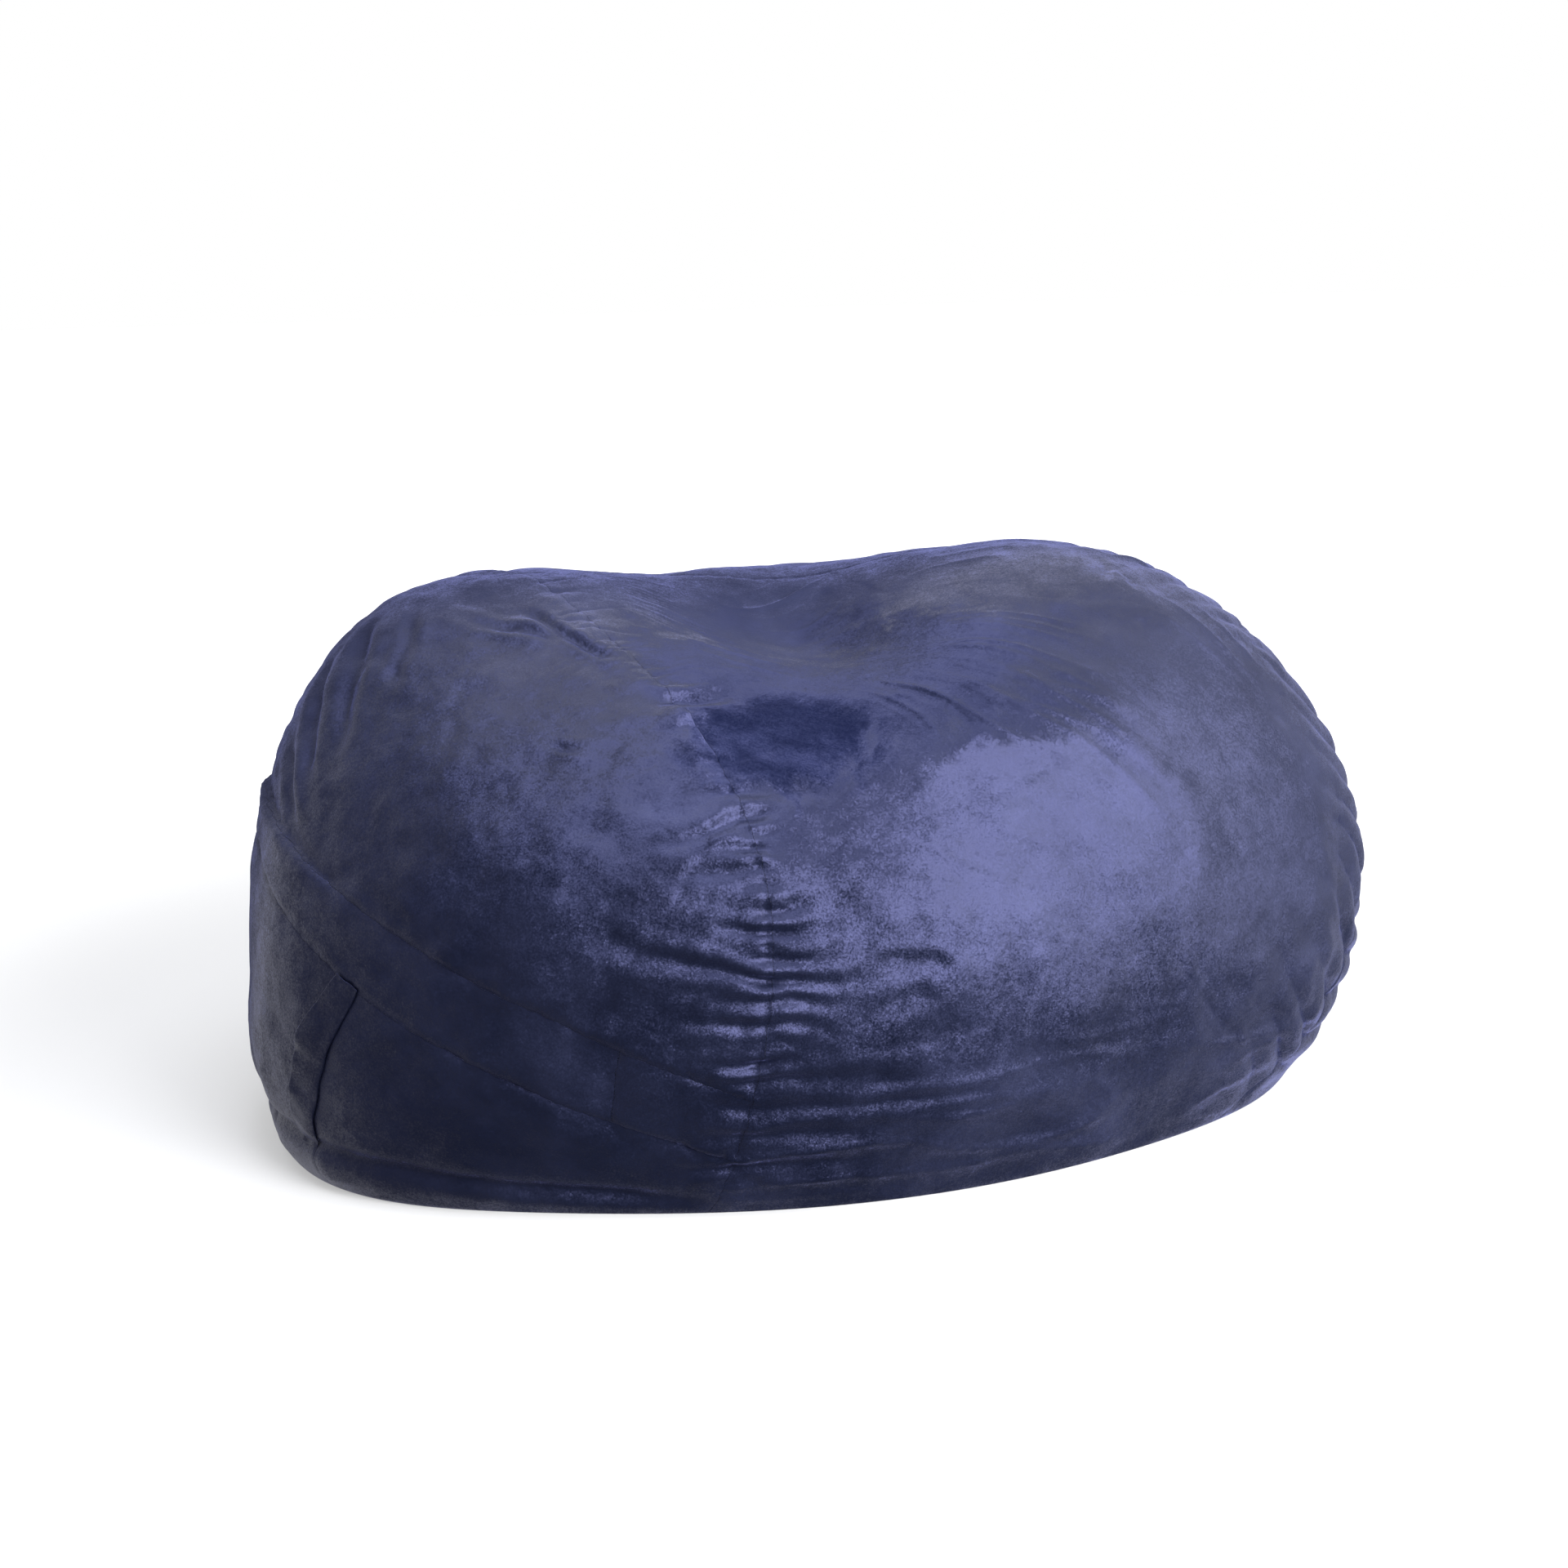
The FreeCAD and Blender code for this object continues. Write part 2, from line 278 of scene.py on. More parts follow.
def skin_grid(columns, rows, tree, touch=0.0):
    """Vertices and quads over the bag, from the foot to the top, fitted to a tree from outside.

    Four quarters of the side run up to a square top patch, as on a rounded box."""
    reach = 3.0

    def hit(origin, towards):
        return tree.ray_cast(Vector(origin), Vector(towards))[0]

    azimuths = -45 + 90 * np.arange(4 * columns) / columns
    local = (azimuths + 45) % 90 - 45
    tops = np.degrees(np.arctan(np.cos(np.radians(local))))
    foot_radii = []
    for azimuth in azimuths:
        outward = direction(azimuth, 0.0)
        start = CENTRE * [1, 1, 0] + [0, 0, FOOT_HEIGHT] + outward * reach
        foot_radii.append((Vector(hit(start, -outward)).xy - Vector(CENTRE[:2])).length)
    feet = -np.degrees(np.arctan2(CENTRE[2], np.array(foot_radii)))

    directions = []
    for j in range(rows + 1):
        directions.append(direction(azimuths, feet + (tops - feet) * j / rows))
    directions = np.concatenate(directions)
    steps = np.tan(np.radians(-45 + 90 * np.arange(columns + 1) / columns))
    top_index = np.zeros((columns + 1, columns + 1), int)
    inner = []
    rim = rows * 4 * columns
    for i in range(columns + 1):
        for j in range(columns + 1):
            if i == columns:
                top_index[i, j] = rim + j % (4 * columns)
            elif j == columns:
                top_index[i, j] = rim + columns + (columns - i)
            elif i == 0:
                top_index[i, j] = rim + 2 * columns + (columns - j)
            elif j == 0:
                top_index[i, j] = rim + 3 * columns + i
            else:
                top_index[i, j] = len(directions) + len(inner)
                d = np.array([steps[i], steps[j], 1.0])
                inner.append(d / np.linalg.norm(d))
    directions = np.concatenate([directions, inner])

    radii = np.zeros(len(directions))
    for k, d in enumerate(directions):
        found = hit(CENTRE + d * reach, -d)
        radii[k] = np.linalg.norm(np.array(found) - CENTRE) if found else np.nan
    known = ~np.isnan(radii)
    radii[~known] = np.interp(np.flatnonzero(~known), np.flatnonzero(known), radii[known])
    foot = np.arange(len(radii)) < 4 * columns
    radii[foot] = np.hypot(CENTRE[2], foot_radii)

    ring = 4 * columns
    faces = []
    for j in range(rows):
        for k in range(ring):
            n = (k + 1) % ring
            faces.append((j * ring + k, j * ring + n, (j + 1) * ring + n, (j + 1) * ring + k))
    for i in range(columns):
        for j in range(columns):
            corners = ((i, j), (i + 1, j), (i + 1, j + 1), (i, j + 1))
            faces.append(tuple(top_index[c] for c in corners))
    pairs = np.array([(f[m], f[(m + 1) % 4]) for f in faces for m in range(4)])
    radii = smoothed(radii[:, None], pairs, 40, fixed=foot)
    vertices = CENTRE + directions * (radii + touch * form_touches(directions)[:, None])
    vertices[:, 2] = np.where(foot, 0, np.maximum(vertices[:, 2], 0))
    return vertices, faces, ring


def cut_seams(obj):
    """Cuts the skin's faces along every seam, after snapping near vertices on to it."""
    bm = bmesh.new()
    bm.from_mesh(obj.data)
    bm.verts.ensure_lookup_table()
    snap_distance = 0.0035
    on_seam = set()
    for seam, panels in SEAM_CUTS:
        azimuth, tilt, offset = SEAM_PLANES[seam]
        normal = Vector(direction(azimuth, tilt))
        point = Vector(CENTRE) + normal * offset
        allowed = {PANELS.index(p) for p in panels}
        centres = np.array([f.calc_center_median() for f in bm.faces])
        wanted = panel_of(centres)
        faces = [f for f, index in zip(bm.faces, wanted) if index in allowed]
        vertices = {v for f in faces for v in f.verts}
        for v in vertices:
            gap = (v.co - point).dot(normal)
            if abs(gap) < snap_distance and v not in on_seam and not v.is_boundary:
                v.co -= normal * gap
        edges = {e for f in faces for e in f.edges}
        cut = bmesh.ops.bisect_plane(bm, geom=list(vertices) + list(edges) + faces, dist=0.0002,
                                     plane_co=point, plane_no=normal)
        on_seam |= {g for g in cut["geom_cut"] if isinstance(g, bmesh.types.BMVert)}
    large = [f for f in bm.faces if len(f.verts) > 4]
    bmesh.ops.triangulate(bm, faces=large)
    bmesh.ops.dissolve_degenerate(bm, dist=0.0004, edges=bm.edges)
    bm.to_mesh(obj.data)
    bm.free()


def face_centres(mesh):
    co = np.zeros(len(mesh.polygons) * 3)
    mesh.polygons.foreach_get("center", co)
    return co.reshape(-1, 3)


def mark_panels(mesh):
    attribute = mesh.attributes.new("panel", "INT", "FACE")
    attribute.data.foreach_set("value", panel_of(face_centres(mesh)).astype(np.int32))


def panels_of_faces(mesh):
    values = np.zeros(len(mesh.polygons), np.int32)
    mesh.attributes["panel"].data.foreach_get("value", values)
    return values


def seam_edges(mesh):
    """Vertex pairs of the edges between two panels, and the two panels of each."""
    panel = panels_of_faces(mesh)
    sides = {}
    for polygon, index in zip(mesh.polygons, panel):
        for key in polygon.edge_keys:
            sides.setdefault(key, []).append(int(index))
    found = [(key, tuple(sorted(s))) for key, s in sides.items() if len(s) == 2 and s[0] != s[1]]
    return np.array([key for key, _ in found]), [pair for _, pair in found]


def inflate(obj):
    """Blows the sewn skin up as cloth with short seams, and keeps the wrinkles of the result."""
    mesh = obj.data
    start = coordinates(mesh)
    pairs = edges_of(mesh)
    seam, _ = seam_edges(mesh)
    on_seam = np.zeros(len(start), bool)
    on_seam[seam.ravel()] = True
    foot = start[:, 2] < 0.002

    pin = obj.vertex_groups.new(name="pin")
    pin.add(np.flatnonzero(foot).tolist(), 1.0, "REPLACE")
    gathered = obj.vertex_groups.new(name="gathered")
    gathered.add(np.flatnonzero(on_seam).tolist(), 1.0, "REPLACE")

    cloth = obj.modifiers.new("Cloth", "CLOTH")
    settings = cloth.settings
    settings.quality = 4
    settings.mass = 0.15
    settings.tension_stiffness = 25
    settings.compression_stiffness = 25
    settings.shear_stiffness = 8
    settings.bending_stiffness = 0.05
    settings.air_damping = 2
    settings.use_pressure = True
    settings.uniform_pressure_force = 4
    settings.vertex_group_mass = "pin"
    settings.vertex_group_shrink = "gathered"
    settings.shrink_min = -0.010
    settings.shrink_max = 0.20
    settings.effector_weights.gravity = 0
    cloth.collision_settings.use_collision = False
    cloth.point_cache.frame_start = 1
    cloth.point_cache.frame_end = 20
    for step in range(1, 21):
        bpy.context.scene.frame_set(step)
    graph = bpy.context.evaluated_depsgraph_get()
    ended = coordinates(obj.evaluated_get(graph).to_mesh())
    obj.modifiers.clear()
    obj.vertex_groups.clear()
    bpy.context.scene.frame_set(1)

    moved = ended - start
    broad = smoothed(moved, pairs, 60)
    kept = (moved - broad) + 0.25 * broad
    size = np.linalg.norm(kept, axis=1, keepdims=True)
    limit = 0.012
    kept *= np.minimum(1, limit / np.maximum(size, 1e-9))
    in_seat = smoothstep(0.56, 0.38, np.abs(start[:, 0])) * smoothstep(0.60, 0.72, start[:, 2])
    kept *= smoothstep(0.04, 0.34, start[:, 2:]) * (1 - 0.9 * in_seat[:, None])
    ended = start + kept
    ended[:, 2] = np.maximum(ended[:, 2], CLEARANCE * ~foot)
    set_coordinates(mesh, ended)


def build_skin():
    cover = PANELS + ["base_panel", "base_seam", "crown_seam", "back_seam", "front_seam", "band_upper_seam",
                      "band_lower_seam", "band_join_seam", "flap_seam"]
    vertices, faces, ring = skin_grid(120, 76, tree_of(cover), touch=1.0)
    foot_ring = vertices[:ring]
    obj = new_object("skin", vertices, faces)
    cut_seams(obj)
    mark_panels(obj.data)
    inflate(obj)
    subdivide(obj)
    apply_modifiers(obj)
    return obj, foot_ring


# ---------------------------------------------------------------- creases

def seam_puckers(points, seam, spacing, reach, depth, seed, slant=0.0):
    """Narrow tucks that cross a seam with rounded cloth between them, fading away from the seam."""
    d = across(points, seam)
    s = along(points, seam) + slant * np.abs(d)
    place = rows(s / spacing, d / (reach * 2.4), seed * 3.7)
    place[:, 0] += 0.35 * noise(rows(s / 0.11, d / 0.09, 0.0), seed + 5)
    tuck = (1 - np.abs(noise(place, seed))) ** 5
    swell = noise(place * [0.9, 1.3, 1] + 7.3, seed + 1)
    strength = 0.75 + 0.7 * noise(rows(s / 0.17, np.sign(d) * 0.7, 0.0), seed + 2)
    length = reach * (1 + 0.6 * noise(rows(s / 0.07, np.sign(d) * 1.7, 0.0), seed + 3))
    fade = np.exp(-np.abs(d) / np.maximum(length, reach * 0.3))
    return depth * (0.6 * swell - tuck) * np.clip(strength, 0.2, 1.5) * fade


# Tucks across the front seam: height of each above the floor, how far it runs to the left and to the
# right, its depth, and its rise to the right over a metre.
FRONT_TUCKS = (
    (0.757, 0.040, 0.110, 0.0100, -0.02),
    (0.688, 0.045, 0.030, 0.0065, 0.00),
    (0.672, 0.065, 0.020, 0.0050, 0.00),
    (0.650, 0.050, 0.130, 0.0040, -0.05),
    (0.612, 0.080, 0.045, 0.0085, 0.25),
    (0.594, 0.030, 0.035, 0.0055, 0.00),
    (0.574, 0.045, 0.020, 0.0080, 0.00),
    (0.547, 0.085, 0.025, 0.0060, 0.03),
    (0.530, 0.045, 0.025, 0.0055, 0.00),
    (0.497, 0.015, 0.060, 0.0060, 0.00),
    (0.466, 0.050, 0.040, 0.0095, 0.00),
    (0.420, 0.020, 0.075, 0.0065, 0.00),
    (0.383, 0.170, 0.020, 0.0085, -0.34),
    (0.384, 0.015, 0.100, 0.0060, 0.00),
    (0.358, 0.050, 0.080, 0.0060, -0.10),
    (0.325, 0.090, 0.065, 0.0060, -0.12),
    (0.258, 0.045, 0.040, 0.0105, 0.00),
    (0.228, 0.060, 0.150, 0.0055, 0.00),
    (0.185, 0.040, 0.190, 0.0055, 0.03),
    (0.140, 0.050, 0.210, 0.0065, 0.05),
    (0.085, 0.060, 0.230, 0.0070, 0.07),
)


def front_tucks(points, in_front):
    """Sharp level tucks pinched by the front seam, each with raised cloth above and below it."""
    d = across(points, "front")
    z = points[:, 2] + 0.010 * noise(points / 0.09, 17)
    total = np.zeros(len(points))
    for place, left, right, depth, rise in FRONT_TUCKS:
        off = z - place - rise * d
        reach = np.where(d < 0, left, right)
        fade = np.exp(-(np.abs(d) / reach) ** 2)
        narrow = 0.0066 + 0.045 * np.abs(d)
        total -= depth * np.exp(-(off / narrow) ** 2) * fade
        total += 0.5 * depth * np.exp(-((np.abs(off) - 2.1 * narrow) / (1.2 * narrow)) ** 2) * fade
    return total * in_front * (0.55 + 0.45 * smoothstep(0.15, 0.40, z))


def fan_folds(points):
    """Long folds that spread from the gathered point at the top left over the seat to the right end."""
    pole = np.array([-0.47, 0.10, 0.87])
    far = np.array([0.80, -0.45, 0.30])
    span = np.linalg.norm(far - pole)
    axis = (far - pole) / span
    helper = np.cross(axis, [0, 0, 1])
    helper /= np.linalg.norm(helper)
    p = points - pole
    t = p @ axis / span
    turn = np.arctan2(p @ np.cross(axis, helper), p @ helper)
    fan = rows(turn * 5, t * 1.7, 0.0)
    fan[:, 0] += 0.9 * noise(points / 0.30, 55)
    folds = ridges(fan, 51, 9) + ridges(fan * [1.9, 1.6, 1], 52, 9) * 0.25
    patchy = smoothstep(-0.25, 0.6, noise(points / 0.22, 57))
    mask = smoothstep(0.03, 0.25, t) * smoothstep(1.0, 0.65, t) * smoothstep(0.40, 0.66, points[:, 2])
    return (folds - 0.15) * patchy * mask


def end_scallops(points):
    """Rounded humps of cloth between the gathers of the crown seam, round both ends of the bag."""
    d = across(points, "crown")
    s = along(points, "crown")
    at_right = points[:, 0] > 0
    spacing = np.where(at_right, 0.046, 0.085)
    s = s + 0.5 * spacing * noise(rows(s / 0.13, d / 0.30, 0.0), 25) + 0.25 * np.abs(d)
    hump = np.abs(np.sin(math.pi * s / spacing)) ** 0.7 - 0.6
    size = 0.014 * (1 + 0.5 * noise(rows(s / 0.10, 0.0, 0.0), 27))
    ends = smoothstep(0.45, 0.68, points[:, 0])
    ends += 0.45 * smoothstep(-0.50, -0.70, points[:, 0]) * smoothstep(0.40, 0.60, points[:, 2])
    return size * hump * np.exp(-np.abs(d / 0.13) ** 1.5) * ends * smoothstep(0.02, 0.12, points[:, 2])


# Single folds in the slack cloth of the left lobe: both ends, depth and half width of each.
LOBE_FOLDS = (
    ((-0.62, -0.02, 0.860), (-0.415, -0.191, 0.817), 0.0100, 0.011),
    ((-0.50, -0.06, 0.850), (-0.355, -0.265, 0.790), 0.0070, 0.009),
    ((-0.71, 0.06, 0.830), (-0.800, -0.150, 0.650), 0.0120, 0.014),
    ((-0.78, 0.06, 0.760), (-0.850, -0.130, 0.560), 0.0110, 0.014),
    ((-0.62, 0.05, 0.850), (-0.720, -0.150, 0.740), 0.0080, 0.012),
    ((-0.86, 0.02, 0.660), (-0.870, -0.160, 0.500), 0.0070, 0.011),
    ((-0.52, -0.36, 0.710), (-0.400, -0.420, 0.690), 0.0040, 0.007),
    ((-0.48, -0.46, 0.610), (-0.330, -0.520, 0.590), 0.0040, 0.007),
)


def lobe_folds(points):
    warped = points + 0.014 * rows(*(noise(points / 0.09, 131 + k) for k in range(3)))
    total = np.zeros(len(points))
    for start, end, depth, width in LOBE_FOLDS:
        start, end = np.array(start), np.array(end)
        reach = end - start
        t = (warped - start) @ reach / (reach @ reach)
        gap = np.linalg.norm(warped - start - np.clip(t, 0, 1)[:, None] * reach, axis=1)
        fade = smoothstep(-0.10, 0.20, t) * smoothstep(1.05, 0.55, t)
        total -= depth * np.exp(-(gap / width) ** 2) * fade
        total += 0.5 * depth * np.exp(-((gap - 2.2 * width) / (1.2 * width)) ** 2) * fade
    return total


def foot_roll(points, is_left):
    """Below the flap and the lower left panel the cloth rolls along the floor under a long hollow."""
    x, y, z = points.T
    line = np.interp(x, [-0.88, -0.70, -0.50, -0.30], [0.078, 0.060, 0.040, 0.022])
    mask = smoothstep(-0.28, -0.50, x) * is_left * smoothstep(0.15, 0.0, y)
    hollow = 0.010 * np.exp(-((z - line) / 0.013) ** 2)
    roll = 0.004 * np.exp(-((z - line * 0.45) / (0.4 * line)) ** 2)
    knob = 0.008 * np.exp(-np.sum((points - [-0.85, -0.27, 0.055]) ** 2, axis=1) / 0.040 ** 2)
    return (roll - hollow) * mask + knob


def seam_dips(points, is_left, in_front):
    """The cloth draws in along each seam, and stands a little higher on the fuller side."""
    on_band = is_left * in_front
    under = smoothstep(0.01, -0.01, across(points, "band_lower"))
    between = (1 - under) * smoothstep(0.01, -0.01, across(points, "band_upper"))
    total = np.zeros(len(points))
    for seam, step, mask in (("front", 0, 1), ("crown", 0, 1), ("band_upper", 0.0026, on_band),
                             ("band_lower", 0.0030, on_band), ("band_join", 0.0012, on_band * between),
                             ("flap", 0.0010, on_band * under)):
        d = across(points, seam)
        total -= 0.0014 * np.exp(-np.abs(d) / 0.006) * mask
        total += step * (smoothstep(-0.003, 0.003, d) - 0.5) * np.exp(-np.abs(d) / 0.035) * mask
    return total


def lobe_overhang(points, in_front):
    """The left lobe swells over the front seam beside the seat, with a hollow under it."""
    d = across(points, "front")
    beside_seat = smoothstep(0.58, 0.70, points[:, 2]) * in_front
    swell = 0.006 * np.exp(-(d / 0.06) ** 2) * smoothstep(0.010, -0.035, d)
    hollow = 0.004 * np.exp(-np.abs(d - 0.03) / 0.06) * smoothstep(-0.012, 0.030, d)
    swell *= 1 + 0.5 * noise(points / 0.06, 19)
    return (swell - hollow) * beside_seat


def band_overhang(points, is_left, in_front):
    """The band stands proud of the upper panel at the far left."""
    d = across(points, "band_upper")
    at_end = smoothstep(-0.80, -0.90, points[:, 0]) * is_left * in_front
    swell = 0.012 * np.exp(-(d / 0.05) ** 2) * smoothstep(0.002, -0.012, d)
    tuck = 0.007 * np.exp(-np.abs(d) / 0.02) * smoothstep(-0.004, 0.006, d)
    return (swell - tuck) * at_end


def crease(points):
    """Height to add to the skin at each point, along its normal."""
    x, y, z = points.T
    is_left = smoothstep(0.02, -0.02, across(points, "front"))
    in_front = smoothstep(-0.02, 0.02, across(points, "crown"))
    over_band = smoothstep(-0.015, 0.015, across(points, "band_upper"))
    off_floor = smoothstep(0.0, 0.10, z)
    low = smoothstep(0.32, 0.14, z) * smoothstep(0.0, 0.06, z)

    height = seam_puckers(points, "front", 0.040, 0.060, 0.0050, 11, slant=0.10) * off_floor
    height += front_tucks(points, in_front)
    at_ends = smoothstep(0.38, 0.62, np.abs(x))
    height += seam_puckers(points, "crown", 0.095, 0.150, 0.0100, 21, slant=0.35) * off_floor * at_ends
    height += end_scallops(points)
    height += lobe_folds(points)
    height += foot_roll(points, is_left)
    height += seam_puckers(points, "band_upper", 0.060, 0.022, 0.0035, 31) * is_left * in_front
    height += seam_puckers(points, "band_lower", 0.060, 0.022, 0.0035, 41) * is_left * in_front
    height += 0.0056 * fan_folds(points) * (1 - is_left)

    # soft lumps of the foam behind the cloth, and slack cloth on the left lobe
    height += 0.0045 * fractal(points / 0.20, 3, 61)
    slack = is_left * over_band + 0.25
    height += 0.0016 * fractal(points / 0.055, 2, 75) * slack

    # slack folds that run level above the floor, on the right of the front seam
    level = rows(x / 0.30, y / 0.30, z / 0.05)
    height += 0.0050 * (ridges(level, 81, 3) - 0.4) * low * (1 - is_left) * in_front

    height += seam_dips(points, is_left, in_front)
    height += lobe_overhang(points, in_front)
    height += band_overhang(points, is_left, in_front)
    return height * smoothstep(0.0, 0.03, z)


def finish_skin(obj):
    mesh = obj.data
    points = coordinates(mesh)
    moved = points + normals(mesh) * crease(points)[:, None]
    moved[:, 2] = np.maximum(moved[:, 2], CLEARANCE)
    set_coordinates(mesh, moved)


# ---------------------------------------------------------------- cover panels

ALLOWANCE = 0.008   # how far a panel's edge turns in along its seam
GAP = 0.0003        # between a panel and the middle of its seam


def panel_mesh(skin, index):
    """Vertices and faces of one panel of the skin, with its edges turned in along the seams."""
    mesh = skin.data
    panel = panels_of_faces(mesh)
    points = coordinates(mesh)
    normal = normals(mesh)
    used, faces = part_of([tuple(p.vertices) for p, k in zip(mesh.polygons, panel) if k == index])
    own = points[used]
    own_normal = normal[used]
    directed = {(a, b) for f in faces for a, b in zip(f, f[1:] + f[:1])}
    border = [(a, b) for a, b in directed if (b, a) not in directed]
    rim = sorted({v for e in border for v in e})
    is_rim = np.zeros(len(own), bool)
    is_rim[rim] = True
    inward = np.zeros_like(own)
    for f in faces:
        if is_rim[list(f)].any():
            centre = own[list(f)].mean(0)
            for v in f:
                inward[v] += (centre - own[v]) * is_rim[v]
    inward -= own_normal * np.sum(inward * own_normal, axis=1, keepdims=True)
    length = np.linalg.norm(inward, axis=1, keepdims=True)
    inward /= np.maximum(length, 1e-9)
    own = own + inward * GAP * is_rim[:, None]
    edge = {v: len(own) + i for i, v in enumerate(rim)}
    deep = {v: len(own) + len(rim) + i for i, v in enumerate(rim)}
    faces += [(edge[b], edge[a], deep[a], deep[b]) for a, b in border]
    turned = own[rim] - own_normal[rim] * ALLOWANCE + inward[rim] * 0.0012
    return np.concatenate([own, own[rim], turned]), faces


def dress(obj, material, slot, *nodes):
    """Gives a piece its material and its body, and hides the CAD nodes that it stands for."""
    obj.data.polygons.foreach_set("use_smooth", [True] * len(obj.data.polygons))
    obj.data.materials.clear()
    obj.data.materials.append(material)
    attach(obj, BODY)
    if nodes:
        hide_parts(*nodes)
    return obj


def make_panels(skin, material):
    for index, name in enumerate(PANELS):
        vertices, faces = panel_mesh(skin, index)
        obj = dress(new_object(name + "_cloth", vertices, faces), material, "cover_velvet", name)


# ---------------------------------------------------------------- stitches

# Pitch, length and radius of the stitches, in the cover and in the liner.
COVER_STITCH = (0.0052, 0.0044, 0.00065)
LINER_STITCH = (0.006, 0.005, 0.0007)

# The pairs of panels, by their index in PANELS, that each seam joins.
SEAM_NAMES = {
    "front_seam": [(0, 1), (0, 2), (0, 3), (0, 4), (0, 5)],
    "crown_seam": [(0, 7), (1, 6), (2, 6), (3, 6), (4, 6), (5, 6), (0, 6), (1, 7)],
    "back_seam": [(6, 7)],
    "band_upper_seam": [(1, 2), (1, 3), (1, 4), (1, 5)],
    "band_lower_seam": [(2, 4), (2, 5), (3, 4), (3, 5)],
    "band_join_seam": [(2, 3)],
    "flap_seam": [(4, 5)],
}


def chains(pairs):
    """Joins edges end to end into lists of vertices."""
    near = {}
    for a, b in pairs:
        near.setdefault(a, []).append(b)
        near.setdefault(b, []).append(a)
    left = {tuple(sorted(e)) for e in pairs}
    found = []
    starts = sorted(near, key=lambda v: (len(near[v]) == 2, v))
    for start in starts:
        for step in near[start]:
            if tuple(sorted((start, step))) not in left:
                continue
            chain = [start, step]
            left.discard(tuple(sorted((start, step))))
            while True:
                ahead = [n for n in near[chain[-1]] if tuple(sorted((chain[-1], n))) in left]
                if not ahead or (len(near[chain[-1]]) != 2 and len(chain) > 1):
                    break
                left.discard(tuple(sorted((chain[-1], ahead[0]))))
                chain.append(ahead[0])
            found.append(chain)
    return found


def spaced(line, pitch):
    """Points along a line at an even pitch, and the direction of the line at each."""
    lengths = np.concatenate([[0], np.cumsum(np.linalg.norm(np.diff(line, axis=0), axis=1))])
    count = max(1, int(lengths[-1] / pitch))
    at = (np.arange(count) + 0.5) * lengths[-1] / count
    point = np.stack([np.interp(at, lengths, line[:, k]) for k in range(3)], 1)
    ahead = np.stack([np.interp(at + pitch / 3, lengths, line[:, k]) for k in range(3)], 1)
    behind = np.stack([np.interp(at - pitch / 3, lengths, line[:, k]) for k in range(3)], 1)
    heading = ahead - behind
    return point, heading / np.maximum(np.linalg.norm(heading, axis=1, keepdims=True), 1e-9)


def stitch_rows(lines, pitch, length, radius):
    """Small rounded stitches laid end to end along several lines."""
    sides, profile = 6, [(-0.5, 0.35), (-0.36, 0.9), (0.0, 1.0), (0.36, 0.9), (0.5, 0.35)]
    vertices, faces = [], []
    for line in lines:
        if len(line) < 2:
            continue
        point, heading = spaced(line, pitch)
        side = np.cross(heading, [0.31, 0.23, 0.92])
        side /= np.linalg.norm(side, axis=1, keepdims=True)
        up = np.cross(side, heading)
        for p, h, s, u in zip(point, heading, side, up):
            start = len(vertices)
            for at, wide in profile:
                for k in range(sides):
                    turn = 2 * math.pi * k / sides
                    vertices.append(p + h * at * length
                                    + (s * math.cos(turn) + u * math.sin(turn)) * wide * radius)
            for row in range(len(profile) - 1):
                for k in range(sides):
                    n = (k + 1) % sides
                    a = start + row * sides
                    faces.append((a + k, a + n, a + sides + n, a + sides + k))
            faces.append(tuple(start + k for k in reversed(range(sides))))
            faces.append(tuple(start + (len(profile) - 1) * sides + k for k in range(sides)))
    return vertices, faces


def make_stitches(skin, ring, material):
    points = coordinates(skin.data)
    normal = normals(skin.data)
    sunk = points - normal * 0.0011
    edges, between = seam_edges(skin.data)
    for name, wanted in SEAM_NAMES.items():
        pairs = [tuple(int(v) for v in e) for e, pair in zip(edges, between) if pair in wanted]
        lines = [sunk[c] for c in chains(pairs)]
        vertices, faces = stitch_rows(lines, *COVER_STITCH)
        dress(new_object(name + "_stitches", vertices, faces), material, "cover_thread", name)
    rim = np.concatenate([ring, ring[:1]]) * [1, 1, 0] + [0, 0, 0.0035]
    rim = rim + (CENTRE * [1, 1, 0] - rim * [1, 1, 0]) * 0.004
    vertices, faces = stitch_rows([rim], *COVER_STITCH)
    dress(new_object("base_seam_stitches", vertices, faces), material, "cover_thread", "base_seam")


# ---------------------------------------------------------------- flap

def surface_at(tree, azimuth, height):
    outward = Vector(direction(azimuth, 0.0))
    start = Vector((CENTRE[0], CENTRE[1], height)) + outward * 3.0
    hit, normal, _, _ = tree.ray_cast(start, -outward)
    return np.array(hit), np.array(normal)


def crossing(tree, height, seam):
    """Azimuth at which the left end's surface crosses a seam plane at a height."""
    azimuths = np.arange(-176, -120, 1.0)
    gaps = [across(surface_at(tree, a, height)[0], seam) for a in azimuths]
    for k in range(len(gaps) - 1):
        if gaps[k] * gaps[k + 1] <= 0:
            return azimuths[k] + gaps[k] / (gaps[k] - gaps[k + 1])
    return azimuths[int(np.argmin(np.abs(gaps)))]


